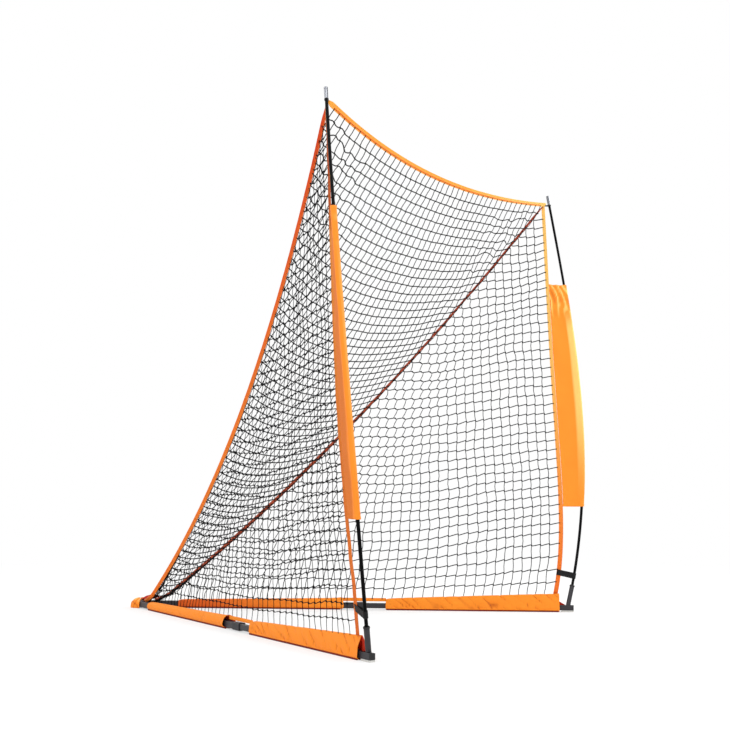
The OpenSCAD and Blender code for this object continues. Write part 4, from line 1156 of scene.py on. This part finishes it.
class GOAL_OT_straps(bpy.types.Operator):
    """Puts the corner loops and the pole straps, both of black webbing, round the poles"""

    bl_idname = "goal.straps"
    bl_label = "Straps"

    def execute(self, context):
        c, s = curves(), context.scene.goal_curves
        webbing = black_strap()
        # name, share up the pole, width, radius inside, rise to the net, how far short it stops, gap
        loops = (
            ("corner_loop", 1 - 0.046 / s.pole_rise, 0.005, 0.0058, 0.0, 0.0013, 0.0011),
            ("pole_strap", 0.124 / s.pole_rise, 0.025, 0.0068, 0.014, -0.019, 0.0022),
        )
        for side, sign in SIDES.items():
            for name, share, width, hole, rise, short, gap in loops:
                place = c.pole(share)
                direction = c.pole(share + 0.01) - c.pole(share - 0.01)
                to = c.edge_at_height(place[2] + rise)
                to = to - unit(to - place) * short
                rings = strap_rings(place, direction, to, width, hole, gap)
                piece = add_mesh(f"{side}_{name}_webbing", *tube(rings), webbing, sign)
                belongs(piece, f"{side}_arm", f"{side}_{name}")
        return {"FINISHED"}


# ---------------------------------------------------------------- poles


class GOAL_OT_poles(bpy.types.Operator):
    """Bends the smooth fibreglass poles"""

    bl_idname = "goal.poles"
    bl_label = "Poles"

    def execute(self, context):
        c, s = curves(), context.scene.goal_curves
        socket, flange, tip_cap, bevel = 0.085, 0.006, 0.042, 0.0008
        low_radius, high_radius = 0.0062, 0.0057
        lean = unit(c.pole(socket / s.pole_rise) - c.foot)
        base = c.foot + lean * ((FRONT_TOP - TUBE_TOP) / lean[2])
        plug = base + column(np.linspace(0.013, socket + flange + 0.001, 8)) * lean
        low = c.pole(np.linspace((socket + flange + 0.006) / s.pole_rise, 0.5, 70))
        high = c.pole(np.linspace(0.5, 1 - tip_cap / s.pole_rise, 70))
        top = c.pole(1 - tip_cap / s.pole_rise)
        tip_line = unit(c.pole(1.0) - top)
        high[0] += tip_line * CLEAR
        sections = (
            ("lower_pole", np.concatenate([plug, low]), low_radius),
            ("upper_pole", np.concatenate([high, [top + tip_line * 0.014, top + tip_line * 0.028]]),
             high_radius),
        )
        for side, sign in SIDES.items():
            for name, path, radius in sections:
                ends = np.zeros(len(path))
                ends[[0, -1]] = bevel
                skin = tube(rod(path, radius - ends, 24, -c.outward))
                piece = add_mesh(f"{side}_{name}_rod", *skin, fibreglass(), sign)
                belongs(piece, f"{side}_arm", f"{side}_{name}")
        return {"FINISHED"}


# ---------------------------------------------------------------- cloth

LEFT_SLEEVE_PAST = 0.038  # the left rear sleeve starts this far past the start of the hem


def add_cloth(name, points, closed, materials, side, thick=0.0011):
    """Sheet of cloth from a grid of points (rows, columns, 3), given its thickness inwards. Each face's
    material is followed in the list by that of its back, unless there is only one."""
    rows, columns = points.shape[:2]
    quads, row, col = grid(rows, columns, closed)
    ahead = distances(np.moveaxis(points, 1, 0)).mean(0)
    ring = np.concatenate([points, points[:, :1]], 1) if closed else points
    across = distances(ring).mean(0)
    uv = np.stack([ahead[row], across[col]], -1)
    piece = add_mesh(name, points.reshape(-1, 3), [quads[:, ::-1]], [uv[:, ::-1]], materials[0], side)
    for material in materials[1:]:
        piece.data.materials.append(material)
    wall = piece.modifiers.new("Cloth", "SOLIDIFY")
    wall.thickness = thick
    wall.offset = -1
    wall.use_rim = True
    wall.use_even_offset = True
    wall.thickness_clamp = 1.0
    wall.material_offset = min(1, len(materials) - 1)
    return piece


def ring_normals(points):
    """Outward directions of closed rings of points (rows, sides, 3): the cross product of the slopes
    round them and along them, turned round if it looks inwards."""
    around = np.roll(points, -1, 1) - np.roll(points, 1, 1)
    out = unit(np.cross(around, np.gradient(points, axis=0)))
    return out if ((points - points.mean(1, keepdims=True)) * out).sum() >= 0 else -out


def hem_stations(total, width, count):
    """Distances along a sleeve: even ones, and close ones where its hems are turned in."""
    near = np.array([0, 0.0015, width - 0.0015, width, width + 0.0015, width + 0.004])
    even = np.linspace(width + 0.008, total - width - 0.008, count)
    return np.concatenate([near, even, total - near[::-1]])


def hem_swell(run, total, width, rise):
    """How much a turned hem stands up: all of it to its stitched edge, then nothing."""
    end = np.minimum(run, total - run)
    return rise * (1 - smooth((end - width + 0.0015) / 0.003))


def creases(p, size, seed, way=(0, 0, 0)):
    """Sharp-ridged folds from 0 to 1, square to way: one less the size of the waves, squared."""
    return (1 - np.minimum(1, np.abs(waves(p, size, seed, 5, way)))) ** 2


def pole_sleeve_points(c, net):
    """Pole sleeve: round the pole at its outer side, thin where it meets the net's front edge. Its width
    is reach + r; half its thickness falls from r at the pole to a thin fold at the net. Gives the points,
    each ring's distance up the sleeve, and its painted highlights, its painted shade in the folds and
    by the net, and the painted shade of a sleeve on the shaded side."""
    low, high, hem = 0.23, 0.775, 0.011  # its ends as shares of the pole, and its hems' width
    r, thin = 0.0100, 0.0022
    total = distances(c.pole(np.linspace(low, high, 200)))[-1]
    run = hem_stations(total, hem, 150)
    # p is on the pole and e on the net's edge; g goes from one to the other, and n is square to it
    p = c.pole(lerp(low, high, run / total))
    e = c.edge_at_height(p[:, 2])
    g = unit(e - p)
    n = unit(np.stack([g[:, 1], -g[:, 0], 0 * g[:, 0]], -1))
    reach = (np.linalg.norm(e - p, axis=-1) - 0.0012)[:, None]
    a = turns(56, 0.5)
    x = (reach - r) / 2 + (reach + r) / 2 * bent(np.cos(a), 0.8)
    inner = r * np.sqrt(np.clip(1 - (x / r) ** 2, 0, 1))
    outer = thin + (r - thin) * (1 - smooth(x / np.minimum(2.6 * r, reach)))
    close = np.sqrt(np.clip(1 - ((x - reach + thin) / thin) ** 2, 0, 1))
    y = np.where(x < 0, inner, outer * np.where(x > reach - thin, close, 1)) * np.sign(np.sin(a))
    points = p[:, None] + column(x) * g[:, None] + column(y) * n[:, None]
    out = ring_normals(points)

    # folds: slanting ones gathered under the top and above the foot, none where the pole fills it
    share = np.clip(x / reach, 0, 1)
    run_up, run_down = run[:, None], (total - run)[:, None]
    free = smooth(share / 0.35) * smooth((1 - share) / 0.2)
    near_top, near_low = np.exp(-run_down / 0.09), np.exp(-run_up / 0.06)
    slant = 5 * (0.93 * g.mean(0) - 0.37 * UP)
    fold = 0.0008 * creases(points, 0.12, net.seed + 11)
    fold = fold + 0.0095 * near_top * creases(points, 0.048, net.seed + 12, slant)
    fold = fold + 0.0028 * near_low * creases(points, 0.05, net.seed + 13, slant)
    snug = (0.0006 + 0.0006 * near_top) * (1 - free) * creases(points, 0.03, net.seed + 14)
    lift = free * fold + snug + hem_swell(run, total, hem, 0.0009)[:, None]
    sway = free * 0.0028 * waves(p[:, None] + 0 * points, 0.16, net.seed + 17)
    rim = np.exp(-run_down / 0.012) + 0.5 * np.exp(-run_up / 0.012)
    droop = 0.004 * rim * free * (waves(points, 0.04, net.seed + 18) - 0.6)
    points = points + column(sway) * n[:, None] + column(droop) * unit(np.gradient(p, axis=0))[:, None]

    # painted light: ridges and the strip on the pole get painted highlights, valleys and the side by the
    # net painted shade, and shaded is a painted shade that darkens from the pole towards the net
    inward = y * (n @ c.outward)[:, None] < 0
    high_up = smooth((0.17 - run_down) / 0.08)
    folds = creases(points, 0.048, net.seed + 12, slant)
    ridge = smooth((folds - 0.5) / 0.25) * high_up
    valley = smooth((0.14 - folds) / 0.08) * high_up
    strip = smooth((0.24 - x / reach) / 0.06) * smooth((run_down - 0.1) / 0.12) * smooth(run_up / 0.5)
    pale = np.where(inward, np.clip(0.75 * ridge + 0.7 * strip, 0, 1), 0.2 * ridge)
    dark = np.where(inward, 0.4 * valley, 0.4 * smooth((0.45 - x / reach) / 0.3))
    shaded = 0.08 + 0.42 * smooth((share - 0.22) / 0.2)
    return points + column(lift) * out, run, pale, dark, shaded


def base_sleeve_points(c, net, x0, x1, crumple):
    """Base sleeve: a squarish tube of cloth, flat on the ground, drawn in to a thin hem above the tube
    towards the foot. Each ring is an ellipse whose sine and cosine are taken to a power below one, and
    crumple, from 0 to 1, squares it and deepens the slanting creases in it. Gives the points and the
    painted shade in their creases."""
    s, hem, half_width, ring_gap, ground = c.s, 0.010, 0.0188, 0.0045, 0.0004
    total = x1 - x0
    run = hem_stations(total, hem, int(total / ring_gap))
    run_on, run_back = column(run), column(total - run)
    # 1 at the sleeve's rear end and its front end, fading inwards
    first, last = np.exp(-run_on / 0.014), np.exp(-run_back / 0.022)
    x = x0 + run_on
    h = c.hem(x) - 0.004 * first + lerp(0.0025, 0.0, crumple) * last
    taper = 0.8 * np.maximum(0, c.hem(x) - s.hem_rear) / (s.hem_foot - s.hem_rear)
    a = turns(48, 0.5)
    power = lerp(0.88, 0.55, crumple) + 0.12 * last * (1 - crumple)
    co, si = bent(np.cos(a), power), bent(np.sin(a), power)
    flare = 1 - lerp(0.16, 0.05, crumple) * first + lerp(0.2, 0.03, crumple) * last
    y = half_width * flare * co * (1 - taper * np.maximum(0, si) ** 2)
    z = TUBE_MID + np.where(si > 0, (h - TUBE_MID - 0.0008), (TUBE_MID - 0.0013)) * si
    points = c.on_arm(x - 0.014 * (1 - crumple) * co * last, y, z)
    out = ring_normals(points)

    # creases slant up along the wall, in patches, and fade where the sleeve ends
    ends = np.exp(-run_on / 0.05) + np.exp(-run_back / 0.05)
    wall = smooth((si + 0.75) / 0.4) * (1 - 0.8 * smooth((si - 0.85) / 0.15))
    slant = 3.2 * (0.52 * c.along + 0.85 * UP)
    loose = smooth((waves(points, 0.13, net.seed + 24) + 0.5) / 0.9)
    patch = lerp(0.3, 1.0, loose) * lerp(0.2, 1.0, crumple)
    patch = patch * (1 - 0.8 * crumple * np.exp(-run_back / 0.03))
    line = np.abs(waves(points, 0.068, net.seed + 22, 5, slant))
    fold = 0.0006 * waves(points, 0.06, net.seed + 21)
    fold = fold - 0.0080 * patch * (1 - np.minimum(1, line / 0.8)) ** 2
    fold = fold + 0.0014 * ends * creases(points, 0.04, net.seed + 23)
    fold = fold + hem_swell(run, total, hem, 0.0007)[:, None]
    points = points + column(fold * wall) * out
    points[..., 2] = np.maximum(points[..., 2], ground)
    # painted shade: darker along the crease lines, in patches on the wall
    return points, 0.75 * patch * wall * np.clip(1 - line / 0.13, 0, 1)


def add_base_sleeve(c, net, side, sign, name, x0, x1):
    """Sleeve on a base tube from x0 to x1 metres from the bolt, painted a deeper orange as the nets'
    shadow where it faces the goal's middle, with dark piping along its two lower edges, which also
    stands in for the shadow under it."""
    front = name == "front_sleeve"
    points, dark = base_sleeve_points(c, net, x0, x1, 1.0 if front else 0.0)
    materials = [sleeve_cloth(), sleeve_lining(), net_shaded_cloth(), sleeve_lining()]
    piece = add_cloth(f"{side}_{name}_cloth", points, True, materials, sign)
    # painted shade in the sleeve's creases
    mark(piece, "crease", dark)
    # faces that look towards the goal's middle take the cloth painted with the nets' shadow
    inner = 2 * facing_in(piece, c, sign, 0.35)
    piece.data.polygons.foreach_set("material_index", inner.astype(np.int32))
    belongs(piece, f"{side}_arm", f"{side}_{name}")
    x = np.linspace(x0 + 0.004, x1 - 0.004, 60)
    # the piping is partly real and partly a dark cord that stands for the shadow under the sleeve
    edge, height, radius = 0.0163 if front else 0.0132, 0.0035, 0.0033
    piping_and_shadow = merged([tube(rod(c.on_arm(x, y, height), radius, 8)) for y in (edge, -edge)])
    piece = add_mesh(f"{side}_{name}_piping", *piping_and_shadow, piping_and_shadow_cloth(), sign)
    belongs(piece, f"{side}_arm")


def add_pole_sleeve(c, net, side, sign):
    """Sleeve round a pole. The right one shows its lit inner side, the left one its shaded outer side."""
    points, run, pale, dark, shaded = pole_sleeve_points(c, net)
    piece = add_cloth(f"{side}_pole_sleeve_cloth", points, True, [sleeve_cloth(), sleeve_lining()], sign)
    # painted light: the right sleeve gets painted highlights and shade in its folds; the left one faint
    # highlights and painted shade towards the net
    mark(piece, "stretch", pale if side == "right" else 0.25 * pale)
    mark(piece, "crease", dark if side == "right" else shaded)
    belongs(piece, f"{side}_arm", f"{side}_pole_sleeve")


def add_hem_band(c, net, side, sign):
    """Strip of cloth that joins the two base sleeves over the bare coupling."""
    s, width, thick = c.s, 0.015, 0.0024
    x = np.linspace(c.arm - s.rear_sleeve_end + CLEAR, c.arm - s.front_sleeve_end - CLEAR, 40)
    middle = c.on_arm(x, 0, s.hem_mid - width / 2)
    middle = middle + column(0.0012 * waves(middle, 0.06, net.seed + 31)) * c.outward
    skin = tube(band(middle, UP, -c.outward, width, thick))
    piece = add_mesh(f"{side}_hem_band", *skin, sleeve_cloth(), sign)
    belongs(piece, f"{side}_arm", f"{side}_hem_strip")


def add_gusset(c, side, sign):
    """Small triangle of cloth between the front sleeve's end and the socket, standing on the front tube,
    painted dark red as in shade.
    """
    s = c.s
    x0, width = c.arm - s.foot_setback + CLEAR, s.foot_setback - 0.0115
    low, high = FRONT_TOP + CLEAR, s.hem_foot - (0.001 if side == "left" else 0.036)
    v, u = np.linspace(0, 1, 12)[:, None], np.linspace(0, 1, 8)
    x = x0 + width * u * (1 - v * 0.97)
    y = 0.0006 + 0.002 * np.sin(np.pi * u) * (1 - v)
    points = c.on_arm(x, y, lerp(low, high, v))
    piece = add_cloth(f"{side}_gusset_cloth", points, False, [gusset_cloth()], sign, 0.0012)
    belongs(piece, f"{side}_arm", f"{side}_foot_gusset")


class GOAL_OT_sleeves(bpy.types.Operator):
    """Sews the cloth sleeves on the poles and base tubes, and the strips that join them"""

    bl_idname = "goal.sleeves"
    bl_label = "Sleeves"

    def execute(self, context):
        c, net, s = curves(), context.scene.goal_net, context.scene.goal_curves
        rear_start = {"left": s.hem_start + LEFT_SLEEVE_PAST, "right": s.right_sleeve_start}
        for side, sign in SIDES.items():
            add_base_sleeve(c, net, side, sign, "rear_sleeve", rear_start[side], c.arm - s.rear_sleeve_end)
            add_base_sleeve(c, net, side, sign, "front_sleeve", c.arm - s.front_sleeve_end,
                            c.arm - s.foot_setback)
            add_pole_sleeve(c, net, side, sign)
            add_hem_band(c, net, side, sign)
            add_gusset(c, side, sign)
        return {"FINISHED"}


def add_pocket(net, low, high):
    """Cloth pocket over the apex: an arch whose width and height are rounded off towards its back by a
    power of 2.2, sagging between its creases."""
    ground, sewn, power, along = 0.0006, 0.002, 2.2, np.linspace(0, 1, 50)[:, None]
    y = low.y + (high.y - low.y) * np.sin(np.pi / 2 * along)
    back = high.y - high.x
    past = np.clip((y - back) / (high.y - back), 0, 1)
    half = (high.x - sewn) * (1 - past**power) ** (1 / power)
    top = (high.z - ground) * (1 - 0.5 * past**2)
    a = np.linspace(0, np.pi, 45)
    x = half * bent(np.cos(a), 0.6)
    z = ground + (top - ground) * np.abs(np.sin(a)) ** 0.6
    points = np.stack([x, y + 0 * x, z], -1)
    line = np.abs(waves(points, 0.05, net.seed + 44))
    sag = 0.0016 * (waves(points, 0.045, net.seed + 41) - 1) * np.sin(a)
    points[..., 2] += sag - 0.0035 * np.maximum(0, 1 - line / 0.5) * np.sin(a)
    points[..., 0] *= 1 - 0.04 * (1 + waves(points, 0.035, net.seed + 42))
    piece = add_cloth("apex_pocket_cloth", points, False, [sleeve_cloth(), sleeve_lining()], 1)
    # painted shade in the folds, and painted highlights on the ridges between them
    mark(piece, "crease", 0.8 * np.clip(1 - line / 0.12, 0, 1))
    mark(piece, "stretch", 0.5 * smooth((line - 0.4) / 0.4))
    belongs(piece, "apex", "apex_pocket")


def add_flap(net, low, high):
    """Small flap in front of the pocket, painted dark red as in shade: it widens forwards, arches, and
    turns down at its sides where it leaves the pocket."""
    u, v = np.linspace(-1, 1, 25), np.linspace(0, 1, 22)[:, None]
    arch = 0.013 * np.sin(np.pi * 0.62 * v) * (1 - u**2)
    points = np.stack([
        u * (0.022 + 0.010 * v), low.y + 0.004 - 0.062 * v + 0 * u,
        high.z + 0.0012 + arch - 0.007 * u**4 * (1 - v),
    ], -1)
    points[..., 2] += 0.0015 * waves(points, 0.03, net.seed + 43)
    piece = add_cloth("apex_flap_cloth", points, False, [gusset_cloth()], 1)
    belongs(piece, "apex")


class GOAL_OT_pocket(bpy.types.Operator):
    """Sews the cloth pocket over the apex, and its flap"""

    bl_idname = "goal.pocket"
    bl_label = "Apex pocket"

    def execute(self, context):
        low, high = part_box("apex_pocket")
        add_pocket(context.scene.goal_net, low, high)
        add_flap(context.scene.goal_net, low, high)
        return {"FINISHED"}


class GOAL_OT_finishes(bpy.types.Operator):
    """Gives the rigid pieces their paint, plating and mouldings"""

    bl_idname = "goal.finishes"
    bl_label = "Finishes"

    def execute(self, context):
        makers = {
            "rear_tube": powder_coat, "front_tube": powder_coat, "pole_socket": powder_coat,
            "coupling_collar": moulded_nylon, "socket_bushing": rubber_black, "end_cap": rubber_black,
            "foot_pad": rubber_grey, "hinge_bush": acetal_white, "snap_button": zinc_plate,
            "button_spring": zinc_plate, "pole_ferrule": dull_aluminium, "pole_tip": turned_aluminium,
            "apex_plate_lower": zinc_plate, "apex_plate_upper": zinc_plate, "apex_bolts": zinc_plate,
            "apex_nuts": zinc_plate,
        }
        for name, node in frame["nodes"].items():
            maker = makers.get(name.removeprefix("left_").removeprefix("right_"))
            if maker:
                node.data.materials.clear()
                node.data.materials.append(maker())
        return {"FINISHED"}


# ---------------------------------------------------------------- stage

LIT_POINT = Vector((0, 0, 0.8))  # what the lamps aim at


def seen_rays(tree):
    """1 for what the camera, a reflection or a refraction sees, 0 for the light that falls on things."""
    path = add(tree, "ShaderNodeLightPath")
    seen = path.outputs["Is Camera Ray"]
    for kind in ("Is Glossy Ray", "Is Transmission Ray"):
        seen = add(tree, "ShaderNodeMath", {0: seen, 1: path.outputs[kind]}, operation="MAXIMUM").outputs[0]
    return seen


class GOAL_OT_stage(bpy.types.Operator):
    """Lays the floor and sets the world, the lamps and the camera"""

    bl_idname = "goal.stage"
    bl_label = "Stage"

    def execute(self, context):
        floor_stuff, tree, surface, place = finish(
            "studio_floor_white", 0.0, Roughness=0.9, **{"Base Color": (0.93, 0.93, 0.93, 1)})
        away = add(tree, "ShaderNodeVectorMath", {0: place.outputs["Object"]}, operation="LENGTH")
        shadows_end = {"From Min": 1.5, "From Max": 3.8, "To Min": 0.5, "To Max": 1.0}
        share = add(tree, "ShaderNodeMapRange", {"Value": away.outputs["Value"], **shadows_end})
        share = add(tree, "ShaderNodeMath", {0: share.outputs[0], 1: seen_rays(tree)}, operation="MULTIPLY")
        glow = add(tree, "ShaderNodeEmission", {"Color": (1, 1, 1, 1), "Strength": 1.0})
        mixed = add(tree, "ShaderNodeMixShader",
                    {0: share.outputs[0], 1: surface.outputs[0], 2: glow.outputs[0]})
        tree.links.new(mixed.outputs[0], tree.nodes["Material Output"].inputs["Surface"])
        half = 40.0
        corners = [(x * half, y * half, 0) for x, y in ((-1, -1), (1, -1), (1, 1), (-1, 1))]
        mesh = bpy.data.meshes.new("floor")
        mesh.from_pydata(corners, [], [(0, 1, 2, 3)])
        mesh.materials.append(floor_stuff)
        floor = bpy.data.objects.new("floor", mesh)
        context.scene.collection.objects.link(floor)

        world = bpy.data.worlds.new("studio")
        context.scene.world = world
        world.use_nodes = True
        tree = world.node_tree
        tree.nodes.clear()
        light = add(tree, "ShaderNodeMapRange", {"Value": seen_rays(tree), "To Min": 0.62, "To Max": 1.0})
        glow = add(tree, "ShaderNodeBackground", {"Color": (1, 1, 1, 1), "Strength": light.outputs[0]})
        add(tree, "ShaderNodeOutputWorld", {"Surface": glow.outputs[0]})

        # name, place, watts, metres across
        for name, place, energy, size in (
            ("key", (-3.2, -4.2, 4.6), 150.0, 3.0),
            ("side", (-3.6, 0.9, 3.6), 60.0, 2.0),
            ("fill", (3.0, -2.8, 2.6), 110.0, 2.0),
            ("back", (0.8, 4.5, 4.2), 70.0, 3.0),
        ):
            lamp = bpy.data.lights.new(name, "AREA")
            lamp.energy, lamp.size = energy, size
            holder = bpy.data.objects.new(name, lamp)
            context.scene.collection.objects.link(holder)
            holder.location = place
            holder.rotation_euler = (LIT_POINT - Vector(place)).to_track_quat("-Z", "Y").to_euler()

        yaw, pitch, eye = math.radians(31.6), math.radians(5.2), Vector((-4.26, -2.960, 0.5995))
        focal, sensor, near, far = 59.918, 36.0, 0.05, 200.0
        ahead = Vector((math.cos(yaw) * math.cos(pitch), math.sin(yaw) * math.cos(pitch), math.sin(pitch)))
        right = Vector((math.sin(yaw), -math.cos(yaw), 0))
        lens = bpy.data.cameras.new("camera")
        lens.lens, lens.sensor_width, lens.clip_start, lens.clip_end = focal, sensor, near, far
        camera = bpy.data.objects.new("camera", lens)
        context.scene.collection.objects.link(camera)
        turn = Matrix((right, right.cross(ahead), -ahead)).transposed().to_4x4()
        camera.matrix_world = Matrix.Translation(eye) @ turn
        context.scene.camera = camera
        context.scene.view_settings.view_transform = "Standard"
        return {"FINISHED"}


class GOAL_PT_panel(bpy.types.Panel):
    """Lists the goal's pieces and sizes"""

    bl_idname = "GOAL_PT_panel"
    bl_label = "Bow-pole goal"
    bl_space_type = "VIEW_3D"
    bl_region_type = "UI"
    bl_category = "Goal"

    def draw(self, context):
        for operator in OPERATORS:
            self.layout.operator(operator.bl_idname)
        for group in (context.scene.goal_curves, context.scene.goal_net, context.scene.goal_colours):
            box = self.layout.box()
            for name in group.__annotations__:
                box.prop(group, name)


OPERATORS = (
    GOAL_OT_stage, GOAL_OT_finishes, GOAL_OT_nets, GOAL_OT_tapes, GOAL_OT_straps, GOAL_OT_poles,
    GOAL_OT_sleeves, GOAL_OT_pocket,
)
GROUPS = {"goal_curves": GoalCurves, "goal_net": NetSizes, "goal_colours": GoalColours}


def register():
    for kind in (*GROUPS.values(), *OPERATORS, GOAL_PT_panel):
        bpy.utils.register_class(kind)
    for name, group in GROUPS.items():
        setattr(bpy.types.Scene, name, PointerProperty(type=group))


def unregister():
    for name in GROUPS:
        delattr(bpy.types.Scene, name)
    for kind in (GOAL_PT_panel, *reversed(OPERATORS), *GROUPS.values()):
        bpy.utils.unregister_class(kind)


def main():
    """Makes every piece in order."""
    register()
    bpy.ops.goal.stage()
    bpy.ops.goal.finishes()
    bpy.ops.goal.nets()
    bpy.ops.goal.tapes()
    bpy.ops.goal.straps()
    bpy.ops.goal.poles()
    bpy.ops.goal.sleeves()
    bpy.ops.goal.pocket()


if __name__ == "__main__":
    main()
